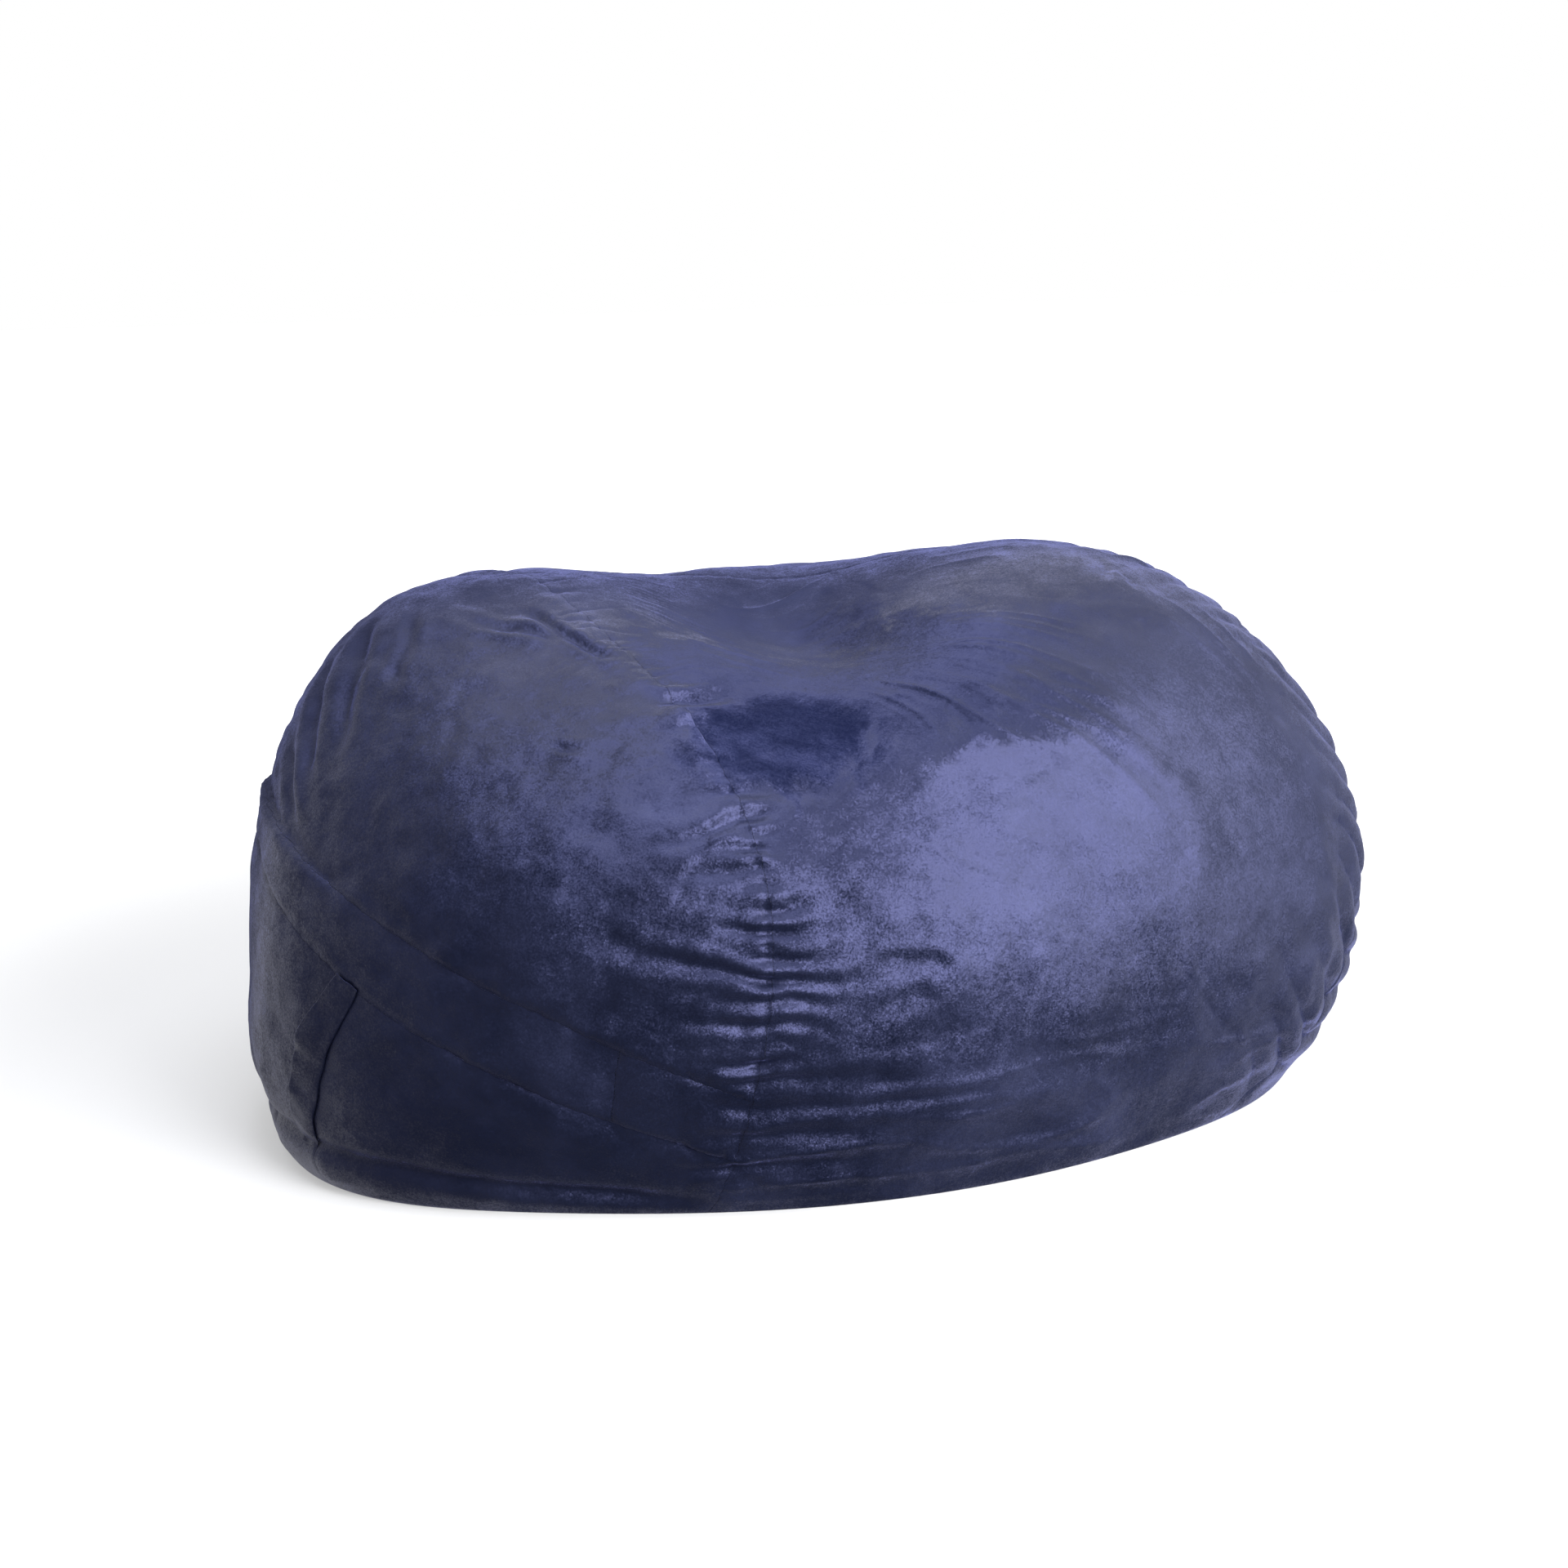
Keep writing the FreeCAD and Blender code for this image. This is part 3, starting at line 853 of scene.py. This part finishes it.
def make_flap(tree, material):
    """The narrow flap, sewn down at its right edge and free at its left edge."""
    columns, rows = 14, 84
    foot = 0.072
    heights = np.linspace(foot, 0.42, 60)
    sewn = np.array([crossing(tree, h, "flap") for h in heights])
    free = np.array([crossing(tree, h, "flap_edge") for h in heights])
    vertices = []
    for i in range(columns + 1):
        u = i / columns
        azimuth = sewn + (free - sewn) * u
        over = [across(surface_at(tree, a, h)[0], "band_lower") for a, h in zip(azimuth, heights)]
        top = float(np.interp(0.0, over, heights)) - 0.001
        for j in range(rows + 1):
            v = j / rows
            h = top + (foot - top) * v
            a = float(np.interp(h, heights, azimuth))
            point, normal = surface_at(tree, a, h)
            ripple = 0.0016 * math.sin(v * 17 + u * 2.5) + 0.0011 * math.sin(v * 41 + u * 5)
            lift = 0.0016 + 0.0040 * u ** 1.5 * (0.6 + 0.4 * math.cos((v - 0.6) * 5)) + ripple * u
            vertices.append(point + normal * max(lift, 0.0016))
    faces = []
    for i in range(columns):
        for j in range(rows):
            a = i * (rows + 1) + j
            b = a + rows + 1
            faces.append((a, a + 1, b + 1, b))
    obj = new_object("side_flap_cloth", vertices, faces)
    thicken(obj, 0.0016, -1)
    subdivide(obj)
    apply_modifiers(obj)
    dress(obj, material, "flap_velvet", "side_flap")


# ---------------------------------------------------------------- base, liner and filling

def node_points(name):
    return coordinates(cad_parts[name].data)


def slot_loop(tapes, count, height):
    """Points round the zip opening between two tapes, anticlockwise from its right end."""
    points = np.concatenate([node_points(t) for t in tapes])
    low, high = points.min(0), points.max(0)
    middle = (low + high) / 2
    half_length, half_width = (high[0] - low[0]) / 2 - 0.006, 0.0075
    corners = np.array([[half_length, 0], [half_length, half_width], [-half_length, half_width],
                        [-half_length, -half_width], [half_length, -half_width], [half_length, 0]])
    lengths = np.concatenate([[0], np.cumsum(np.linalg.norm(np.diff(corners, axis=0), axis=1))])
    at = np.arange(count) / count * lengths[-1]
    flat = np.stack([np.interp(at, lengths, corners[:, k]) for k in range(2)], 1)
    return np.column_stack([flat + middle[:2], np.full(count, height)])


def ring_to_ring(outer, inner, steps):
    """Vertices and faces of a surface between two closed loops with the same number of points."""
    count = len(outer)
    start = int(np.argmin(np.abs(np.arctan2(outer[:, 1], outer[:, 0]))))
    outer = np.roll(outer, -start, axis=0)
    vertices = np.concatenate([outer + (inner - outer) * k / steps for k in range(steps + 1)])
    faces = []
    for k in range(steps):
        for i in range(count):
            n = (i + 1) % count
            faces.append((k * count + i, (k + 1) * count + i, (k + 1) * count + n, k * count + n))
    return vertices, faces


def make_base(name, loop, tapes, height, material, slot):
    vertices, faces = ring_to_ring(loop, slot_loop(tapes, len(loop), height), 40)
    vertices[:, 2] = height
    obj = new_object(name + "_cloth", vertices, faces)
    thicken(obj, 0.0012, 0)
    apply_modifiers(obj)
    dress(obj, material, slot, name)
    return obj


def inner_form(columns, rows, tree, inset, floor):
    """Vertices and faces of the cover's form drawn in by an inset, standing at a height."""
    vertices, faces, _ = skin_grid(columns, rows, tree)
    ring = 4 * columns
    reach = vertices - CENTRE
    distance = np.linalg.norm(reach, axis=1, keepdims=True)
    vertices = CENTRE + reach * (1 - inset / distance)
    rise = smoothstep(0.10, 0.0, vertices[:, 2])
    vertices[:, 2] = np.maximum(vertices[:, 2] + rise * (floor - vertices[:, 2].min()), floor)
    return vertices, faces, ring


def make_liner(tree, material, thread):
    columns, inset, floor = 72, 0.036, 0.0112
    vertices, faces, ring = inner_form(columns, 44, tree, inset, floor)
    whole = new_object("liner_form", vertices, faces)
    points, normal = coordinates(whole.data), normals(whole.data)
    crumple = 0.006 * (ridges(points / 0.11, 91, 3) - 0.5) + 0.003 * (ridges(points / 0.05, 92, 3) - 0.5)
    points = points + normal * (crumple * smoothstep(0.0, 0.05, points[:, 2] - floor))[:, None]
    bpy.data.objects.remove(whole)
    middle = np.array([points[list(f)].mean(0)[1] for f in faces])
    seam_line = []
    for name, front in (("liner_front", True), ("liner_back", False)):
        own = [f for f, y in zip(faces, middle) if (y < 0) == front]
        used, renumbered = part_of(own)
        obj = new_object(name + "_cloth", points[used], renumbered)
        thicken(obj, 0.0008, -1)
        apply_modifiers(obj)
        dress(obj, material, "liner_cloth", name)
        edges = {tuple(sorted(e)) for f in own for e in zip(f, f[1:] + f[:1])}
        seam_line.append(edges)
    shared = sorted(seam_line[0] & seam_line[1])
    lines = [points[c] + [0, 0, 0.0008] for c in chains(shared)]
    vertices, faces = stitch_rows(lines, *LINER_STITCH)
    dress(new_object("liner_seam_stitches", vertices, faces), thread, "liner_cloth", "liner_seam")
    make_base("liner_base", points[:ring], ("liner_zip_tape_left", "liner_zip_tape_right"), 0.0102,
              material, "liner_cloth")


def make_foam(tree, material):
    """The loose foam as one lumpy body."""
    floor = 0.0165
    vertices, faces, ring = inner_form(80, 48, tree, 0.052, floor)
    loop = vertices[:ring]
    bottom, caps = ring_to_ring(loop, np.tile([CENTRE[0], CENTRE[1], floor], (ring, 1)), 16)
    caps = [tuple(v + len(vertices) for v in f) for f in caps]
    obj = new_object("shredded_foam", np.concatenate([vertices, bottom]), faces + caps)
    bm = bmesh.new()
    bm.from_mesh(obj.data)
    bmesh.ops.remove_doubles(bm, verts=bm.verts, dist=0.0008)
    bmesh.ops.recalc_face_normals(bm, faces=bm.faces)
    bm.to_mesh(obj.data)
    bm.free()
    subdivide(obj)
    apply_modifiers(obj)
    points, normal = coordinates(obj.data), normals(obj.data)
    lumps = 0.010 * (np.abs(noise(points / 0.045, 95)) - 0.4) + 0.004 * np.abs(noise(points / 0.018, 96))
    lumps *= smoothstep(floor, floor + 0.03, points[:, 2])
    set_coordinates(obj.data, points + normal * lumps[:, None])
    dress(obj, material, "foam", "shredded_foam_fill")


def make_tape(name, material):
    """A woven zip tape with a raised cord along its inner edge."""
    low, high = node_points(name).min(0), node_points(name).max(0)
    steps = 300
    towards = 1 if name.endswith("left") else -1
    vertices, faces = [], []
    profile = [(0.0, 0.0), (0.2, 0.55), (0.45, 0.35), (0.8, 0.45), (0.97, 0.40), (1.0, 0.0)]
    thick = high[2] - low[2]
    for i in range(steps + 1):
        x = low[0] + (high[0] - low[0]) * i / steps
        rib = 0.06 * (i % 2)
        for at, rise in profile:
            across_tape = at if towards > 0 else 1 - at
            y = low[1] + (high[1] - low[1]) * across_tape
            vertices.append((x, y, low[2] + thick * min(0.95, rise * 2 + rib * rise)))
    count = len(profile)
    for i in range(steps):
        for k in range(count):
            n = (k + 1) % count
            a = i * count
            faces.append((a + k, a + n, a + count + n, a + count + k))
    faces.append(tuple(range(count)))
    faces.append(tuple(steps * count + k for k in reversed(range(count))))
    obj = dress(new_object(name + "_weave", vertices, faces), material, "zip_tape", name)


# ---------------------------------------------------------------- materials

def new_material(name, roughness, specular=0.5):
    """A material, its nodes, its shader, and the shaded point's place in the model's own frame."""
    material = bpy.data.materials.new(name)
    material.use_nodes = True
    tree = material.node_tree
    shader = tree.nodes["Principled BSDF"]
    shader.inputs["Roughness"].default_value = roughness
    shader.inputs["Specular IOR Level"].default_value = specular
    return material, tree, shader, tree.nodes.new("ShaderNodeTexCoord").outputs["Object"]


def feed(tree, value, socket):
    """Links an input to another node's output, or sets it to a plain value."""
    if isinstance(value, bpy.types.NodeSocket):
        tree.links.new(value, socket)
    else:
        socket.default_value = value


def calculate(tree, operation, a, b):
    """A math node of two inputs, each a socket or a number."""
    node = tree.nodes.new("ShaderNodeMath")
    node.operation = operation
    feed(tree, a, node.inputs[0])
    feed(tree, b, node.inputs[1])
    return node.outputs["Value"]


def vector_math(tree, operation, *values):
    """A vector math node, each of whose inputs is a socket or a vector."""
    node = tree.nodes.new("ShaderNodeVectorMath")
    node.operation = operation
    for value, socket in zip(values, node.inputs):
        feed(tree, value, socket)
    return node.outputs["Value" if operation in ("LENGTH", "DOT_PRODUCT") else "Vector"]


def eased(tree, value, low, high, start=0.0, end=1.0):
    """A value that goes smoothly from start to end while another goes from low to high."""
    node = tree.nodes.new("ShaderNodeMapRange")
    node.interpolation_type = "SMOOTHSTEP"
    for name, number in (("From Min", low), ("From Max", high), ("To Min", start), ("To Max", end)):
        node.inputs[name].default_value = number
    tree.links.new(value, node.inputs["Value"])
    return node.outputs["Result"]


def stretched(tree, vector, turn, scale):
    """Coordinates turned and then scaled, for a texture that runs along one direction."""
    node = tree.nodes.new("ShaderNodeMapping")
    node.vector_type = "TEXTURE"
    node.inputs["Rotation"].default_value = [math.radians(a) for a in turn]
    node.inputs["Scale"].default_value = scale
    tree.links.new(vector, node.inputs["Vector"])
    return node.outputs["Vector"]


def cloud(tree, vector, scale, detail=3.0, roughness=0.55, distortion=0.0, output="Fac"):
    node = tree.nodes.new("ShaderNodeTexNoise")
    node.inputs["Scale"].default_value = scale
    node.inputs["Detail"].default_value = detail
    node.inputs["Roughness"].default_value = roughness
    node.inputs["Distortion"].default_value = distortion
    tree.links.new(vector, node.inputs["Vector"])
    return node.outputs[output]


def ramp(tree, factor, *stops):
    """A colour ramp through (position, colour) stops."""
    node = tree.nodes.new("ShaderNodeValToRGB")
    elements = node.color_ramp.elements
    while len(elements) < len(stops):
        elements.new(0.5)
    for element, (at, colour) in zip(elements, stops):
        element.position = at
        element.color = (*colour, 1.0)
    tree.links.new(factor, node.inputs["Fac"])
    return node.outputs["Color"]


def bump(tree, height, distance, strength=1.0, before=None):
    """The normal bent by a height, on top of what another bump made of it."""
    node = tree.nodes.new("ShaderNodeBump")
    node.inputs["Distance"].default_value = distance
    node.inputs["Strength"].default_value = strength
    tree.links.new(height, node.inputs["Height"])
    if before is not None:
        tree.links.new(before, node.inputs["Normal"])
    return node.outputs["Normal"]


def finished(material, colour, normal):
    """Gives a material its colour and its normal."""
    tree = material.node_tree
    shader = tree.nodes["Principled BSDF"]
    tree.links.new(colour, shader.inputs["Base Color"])
    tree.links.new(normal, shader.inputs["Normal"])
    return material


def tilted(tree, vector, layers):
    """The surface normal leaned by layers of texture, as brushed pile leans.

    Each layer is its scale, amount, distortion and detail."""
    normal = tree.nodes.new("ShaderNodeNewGeometry").outputs["Normal"]
    for scale, amount, distortion, detail in layers:
        lean = cloud(tree, vector, scale, detail, 0.64, distortion, "Color")
        centred = vector_math(tree, "SUBTRACT", lean, (0.5, 0.5, 0.5))
        normal = vector_math(tree, "MULTIPLY_ADD", centred, (amount, amount, amount), normal)
    return vector_math(tree, "NORMALIZE", normal)


# Brushed patches of pile: centre, radii, which way the pile leans, and how deep the painted shade makes its
# blue, which darkens the seat hollow where shade falls.
BRUSHED = (
    ((-0.18, -0.44, 0.70), (0.18, 0.13, 0.08), (-0.40, -0.45, -0.30), 0.6),
    ((-0.06, -0.26, 0.77), (0.36, 0.34, 0.14), (-0.20, -0.34, -0.24), 0.12),
    ((-0.50, -0.36, 0.70), (0.20, 0.32, 0.24), (0.06, 0.06, 0.14), 0.0),
    ((0.10, -0.58, 0.60), (0.30, 0.16, 0.10), (0.02, -0.20, -0.06), 0.0),
    ((0.14, -0.53, 0.665), (0.12, 0.06, 0.035), (0.05, -0.36, -0.28), 0.0),
)


def brushed(tree, vector, normal, centre, radii, lean):
    """The normal leaned further inside one brushed patch with a ragged edge, and where that patch is."""
    offset = vector_math(tree, "SUBTRACT", vector, centre)
    reach = vector_math(tree, "LENGTH", vector_math(tree, "DIVIDE", offset, radii))
    ragged = calculate(tree, "MULTIPLY", cloud(tree, vector, 7.0, 7.0, 0.65, 0.8), 2.0)
    inside = eased(tree, calculate(tree, "ADD", reach, ragged), 2.12, 1.60)
    leaned = vector_math(tree, "MULTIPLY_ADD", inside, lean, normal)
    return vector_math(tree, "NORMALIZE", leaned), inside


def velvet(name, painted_shade_tone=1.0):
    """Short-pile navy velvet: pile that leans in brushed patches, a fine grain and a violet gloss."""
    material, tree, shader, place = new_material(name, 0.37, 0.44)
    shader.inputs["Specular Tint"].default_value = (0.45, 0.475, 1.0, 1)
    shader.inputs["Sheen Weight"].default_value = 0.24
    shader.inputs["Sheen Roughness"].default_value = 0.30
    shader.inputs["Sheen Tint"].default_value = (0.36, 0.40, 1.0, 1)

    # the pile stands up on the far side, where nobody has brushed it down, so it is duller there
    parts = tree.nodes.new("ShaderNodeSeparateXYZ")
    tree.links.new(place, parts.inputs["Vector"])
    tree.links.new(eased(tree, parts.outputs["Y"], -0.15, 0.12, 0.37, 0.85), shader.inputs["Roughness"])

    # a tone below 1 darkens the whole colour: painted shade for a copy of the velvet on a part that lies in
    # shadow
    colour = ramp(tree, cloud(tree, place, 4.2, 6.0, 0.62, 0.6),
                  (0.36, (0.0042 * painted_shade_tone, 0.0058 * painted_shade_tone, 0.0150 * painted_shade_tone)),
                  (0.55, (0.0084 * painted_shade_tone, 0.0105 * painted_shade_tone, 0.0250 * painted_shade_tone)),
                  (0.72, (0.0160 * painted_shade_tone, 0.0190 * painted_shade_tone, 0.0430 * painted_shade_tone)))
    nap = tilted(tree, place, ((3.0, 0.28, 0.4, 3.0), (9.0, 0.58, 1.0, 8.0), (34.0, 0.40, 0.6, 6.0),
                               (130.0, 0.42, 0.2, 4.0), (320.0, 0.85, 0.0, 2.0)))
    for centre, radii, lean, painted_shade_depth in BRUSHED:
        nap, inside = brushed(tree, place, nap, centre, radii, lean)
        # painted shade: inside the seat patches the colour is mixed towards a deep dark blue, for the shade
        # that falls in the seat hollow
        deep = tree.nodes.new("ShaderNodeMix")
        deep.data_type = "RGBA"
        tree.links.new(calculate(tree, "MULTIPLY", inside, painted_shade_depth), deep.inputs["Factor"])
        tree.links.new(colour, deep.inputs["A"])
        deep.inputs["B"].default_value = (0.008, 0.012, 0.044, 1)
        colour = deep.outputs["Result"]
    streaks = cloud(tree, stretched(tree, place, (0, 24, -22), (3.2, 1, 1)), 34.0, 4.0, 0.6)
    pile = cloud(tree, place, 900.0, 2.0, 0.7)
    normal = bump(tree, streaks, 0.0016, 0.7, nap)
    return finished(material, colour, bump(tree, pile, 0.0006, 0.5, normal))


def thread():
    """Dark polyester sewing thread with its twist."""
    material, tree, _, place = new_material("sewing_thread", 0.55, 0.4)
    wave = tree.nodes.new("ShaderNodeTexWave")
    wave.inputs["Scale"].default_value = 900.0
    tree.links.new(place, wave.inputs["Vector"])
    twist = wave.outputs["Fac"]
    colour = ramp(tree, twist, (0.2, (0.004, 0.005, 0.014)), (0.8, (0.012, 0.014, 0.034)))
    return finished(material, colour, bump(tree, twist, 0.0002, 0.6))


def liner_cloth():
    """Thin off-white polyester lining with a fine plain weave."""
    material, tree, _, place = new_material("liner_cloth", 0.78, 0.3)
    stain = cloud(tree, place, 6.0, 4.0)
    colour = ramp(tree, stain, (0.3, (0.62, 0.61, 0.58)), (0.7, (0.76, 0.75, 0.72)))
    wrinkled = bump(tree, cloud(tree, place, 22.0, 5.0, 0.6, 0.5), 0.006, 0.5)
    weave = weave_height(tree, place, 1400.0)
    return finished(material, colour, bump(tree, weave, 0.0004, 0.5, wrinkled))


def weave_height(tree, vector, scale):
    """Height of a plain weave: two crossing sets of threads."""
    heights = []
    for axis in ("X", "Y"):
        wave = tree.nodes.new("ShaderNodeTexWave")
        wave.bands_direction = axis
        wave.inputs["Scale"].default_value = scale / 20
        wave.inputs["Distortion"].default_value = 0.6
        tree.links.new(vector, wave.inputs["Vector"])
        heights.append(wave.outputs["Fac"])
    return calculate(tree, "MULTIPLY", *heights)


def foam():
    """Shredded polyurethane foam: open-celled crumbs of several pale colours."""
    material, tree, _, place = new_material("shredded_foam", 0.9, 0.2)
    crumbs = tree.nodes.new("ShaderNodeTexVoronoi")
    crumbs.inputs["Scale"].default_value = 45.0
    tree.links.new(place, crumbs.inputs["Vector"])
    pick = tree.nodes.new("ShaderNodeSeparateColor")
    tree.links.new(crumbs.outputs["Color"], pick.inputs["Color"])
    colour = ramp(tree, pick.outputs[0], (0.0, (0.72, 0.66, 0.48)), (0.35, (0.80, 0.78, 0.70)),
                  (0.6, (0.42, 0.52, 0.66)), (0.8, (0.72, 0.55, 0.50)), (1.0, (0.60, 0.62, 0.60)))
    crumbly = bump(tree, crumbs.outputs["Distance"], 0.012, 0.6)
    return finished(material, colour, bump(tree, cloud(tree, place, 600.0, 3.0, 0.7), 0.001, 0.8, crumbly))


def zip_tape():
    """Woven black polyester tape with a herringbone rib."""
    material, tree, _, place = new_material("zip_tape", 0.8, 0.3)
    weave = weave_height(tree, stretched(tree, place, (0, 0, 45), (1, 1, 1)), 3000.0)
    colour = ramp(tree, weave, (0.1, (0.006, 0.006, 0.010)), (0.9, (0.020, 0.020, 0.028)))
    return finished(material, colour, bump(tree, weave, 0.0003, 0.7))


def zip_coil():
    """Glossy black nylon."""
    material, tree, _, place = new_material("zip_coil_nylon", 0.32, 0.5)
    mottle = cloud(tree, place, 300.0)
    colour = ramp(tree, mottle, (0.3, (0.008, 0.008, 0.010)), (0.7, (0.016, 0.016, 0.020)))
    return finished(material, colour, bump(tree, mottle, 0.0001, 0.4))


def zip_metal():
    """Nickel-plated zinc with faint scratches."""
    material, tree, shader, place = new_material("zip_nickel", 0.3, 0.5)
    shader.inputs["Metallic"].default_value = 1.0
    scratches = cloud(tree, stretched(tree, place, (0, 0, 20), (12, 1, 1)), 900.0, 3.0)
    colour = ramp(tree, scratches, (0.3, (0.50, 0.49, 0.47)), (0.7, (0.66, 0.65, 0.63)))
    return finished(material, colour, bump(tree, scratches, 0.00005, 0.5))


# ---------------------------------------------------------------- stage, lights and camera

def make_floor():
    """A pale floor that glows as painted light, faintly near the bag and more away from it, so that it
    brightens to white there.
    """
    floor = new_object("floor", [(-14, -14, 0), (14, -14, 0), (14, 14, 0), (-14, 14, 0)], [(0, 1, 2, 3)])
    material, tree, shader, place = new_material("studio_floor", 0.9, 0.2)
    shader.inputs["Base Color"].default_value = (0.45, 0.45, 0.45, 1)
    shader.inputs["Emission Color"].default_value = (1, 1, 1, 1)
    distance = vector_math(tree, "LENGTH", place)
    # painted light: the floor's own glow, weak near the bag and strong away from it
    tree.links.new(eased(tree, distance, 1.3, 2.7, 0.38, 0.98), shader.inputs["Emission Strength"])
    floor.data.materials.append(material)
    floor.visible_glossy = False
    floor.visible_diffuse = False
    floor.visible_shadow = False


# Glow of the studio walls: where each is, the cosines where it starts and is full, and its strength.
WALL_GLOWS = (
    ((0.0, 0.95, -0.25), -0.6, 0.8, 0.42),
    ((0.0, 0.0, 1.0), -0.1, 0.9, 0.26),
    ((-0.9, 0.3, 0.1), -0.2, 0.9, 0.39),
    ((0.9, 0.3, 0.1), 0.0, 1.0, 0.16),
)


def make_world():
    """A white studio that glows behind, above and beside the bag, and plain white as a backdrop."""
    world = bpy.context.scene.world or bpy.data.worlds.new("studio")
    bpy.context.scene.world = world
    world.use_nodes = True
    tree = world.node_tree
    light = tree.nodes["Background"]
    light.inputs["Color"].default_value = (1.0, 1.0, 1.0, 1)
    towards = tree.nodes.new("ShaderNodeTexCoord").outputs["Generated"]
    strength = 0.0
    for wall, low, high, glow in WALL_GLOWS:
        facing = vector_math(tree, "DOT_PRODUCT", towards, wall)
        strength = calculate(tree, "ADD", strength, eased(tree, facing, low, high, 0.0, glow))
    tree.links.new(strength, light.inputs["Strength"])
    backdrop = tree.nodes.new("ShaderNodeBackground")
    backdrop.inputs["Color"].default_value = (1.0, 1.0, 1.0, 1)
    backdrop.inputs["Strength"].default_value = 1.0
    choice = tree.nodes.new("ShaderNodeMixShader")
    tree.links.new(tree.nodes.new("ShaderNodeLightPath").outputs["Is Camera Ray"], choice.inputs[0])
    tree.links.new(light.outputs[0], choice.inputs[1])
    tree.links.new(backdrop.outputs[0], choice.inputs[2])
    tree.links.new(choice.outputs[0], tree.nodes["World Output"].inputs["Surface"])


WHITE = (1.0, 1.0, 1.0)
COOL = (0.88, 0.91, 1.0)

# Softboxes: azimuth and elevation in degrees, distance, width, height, power and colour.
SOFTBOXES = {
    "overhead": (-110, 84, 2.5, 2.0, 2.0, 35, COOL),
    "left_lobe": (-130, 64, 2.6, 1.8, 1.8, 42, COOL),
    "rear": (80, 44, 3.4, 3.0, 2.0, 9, WHITE),
    "shoulder": (10, 55, 3.2, 1.8, 1.8, 9, WHITE),
    "wide": (-45, 6, 3.8, 4.2, 3.4, 135, WHITE),
    "right": (-62, 10, 3.8, 3.4, 2.8, 130, WHITE),
    "front": (-75, 22, 3.8, 2.2, 1.8, 165, WHITE),
    "high": (-30, 35, 3.8, 2.4, 2.0, 88, WHITE),
}


def make_lights():
    target = Vector((0.0, 0.0, 0.4))
    for name, (azimuth, elevation, distance, width, height, power, colour) in SOFTBOXES.items():
        data = bpy.data.lights.new(name + "_softbox", "AREA")
        data.shape = "RECTANGLE"
        data.size = width
        data.size_y = height
        data.energy = power
        data.color = colour
        lamp = bpy.data.objects.new(name + "_softbox", data)
        lamp.location = target + Vector(direction(azimuth, elevation)) * distance
        lamp.rotation_euler = (target - lamp.location).to_track_quat("-Z", "Y").to_euler()
        bpy.context.scene.collection.objects.link(lamp)


def make_camera():
    azimuth, elevation, distance = math.radians(-17.9), math.radians(14.9), 4.6
    back = Vector((math.sin(azimuth) * math.cos(elevation), -math.cos(azimuth) * math.cos(elevation),
                   math.sin(elevation)))
    target = Vector((-0.035, 0.0, 0.513))
    data = bpy.data.cameras.new("camera")
    data.lens = 62.9
    data.sensor_width = 36.0
    camera = bpy.data.objects.new("camera", data)
    camera.location = target + back * distance
    camera.rotation_euler = (-back).to_track_quat("-Z", "Y").to_euler()
    bpy.context.scene.collection.objects.link(camera)
    bpy.context.scene.camera = camera


# ---------------------------------------------------------------- scene

make_camera()
make_floor()
make_world()
make_lights()
bpy.context.scene.view_settings.view_transform = "Standard"

navy = velvet("navy_velvet")
stitching = thread()
lining = liner_cloth()

skin, foot_ring = build_skin()
finish_skin(skin)
cover_tree = BVHTree.FromObject(skin, bpy.context.evaluated_depsgraph_get())
make_panels(skin, navy)
make_stitches(skin, foot_ring, stitching)
# the flap's velvet is a darker copy (0.8): painted shade for the flap lying in shadow low at the left end
make_flap(cover_tree, velvet("flap_velvet", 0.8))
make_base("base_panel", foot_ring, ("cover_zip_tape_left", "cover_zip_tape_right"), 0.0012,
          navy, "cover_velvet")
make_liner(cover_tree, lining, stitching)
make_foam(cover_tree, foam())
bpy.data.objects.remove(skin)

tape = zip_tape()
for bag in ("cover", "liner"):
    for side in ("left", "right"):
        make_tape(bag + "_zip_tape_" + side, tape)
finishes = {"coil_left": zip_coil(), "coil_right": zip_coil(), "stops": zip_metal(), "slider": zip_metal()}
for node_name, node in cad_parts.items():
    for ending, finish in finishes.items():
        if node_name.endswith(ending):
            node.data.materials.clear()
            node.data.materials.append(finish)
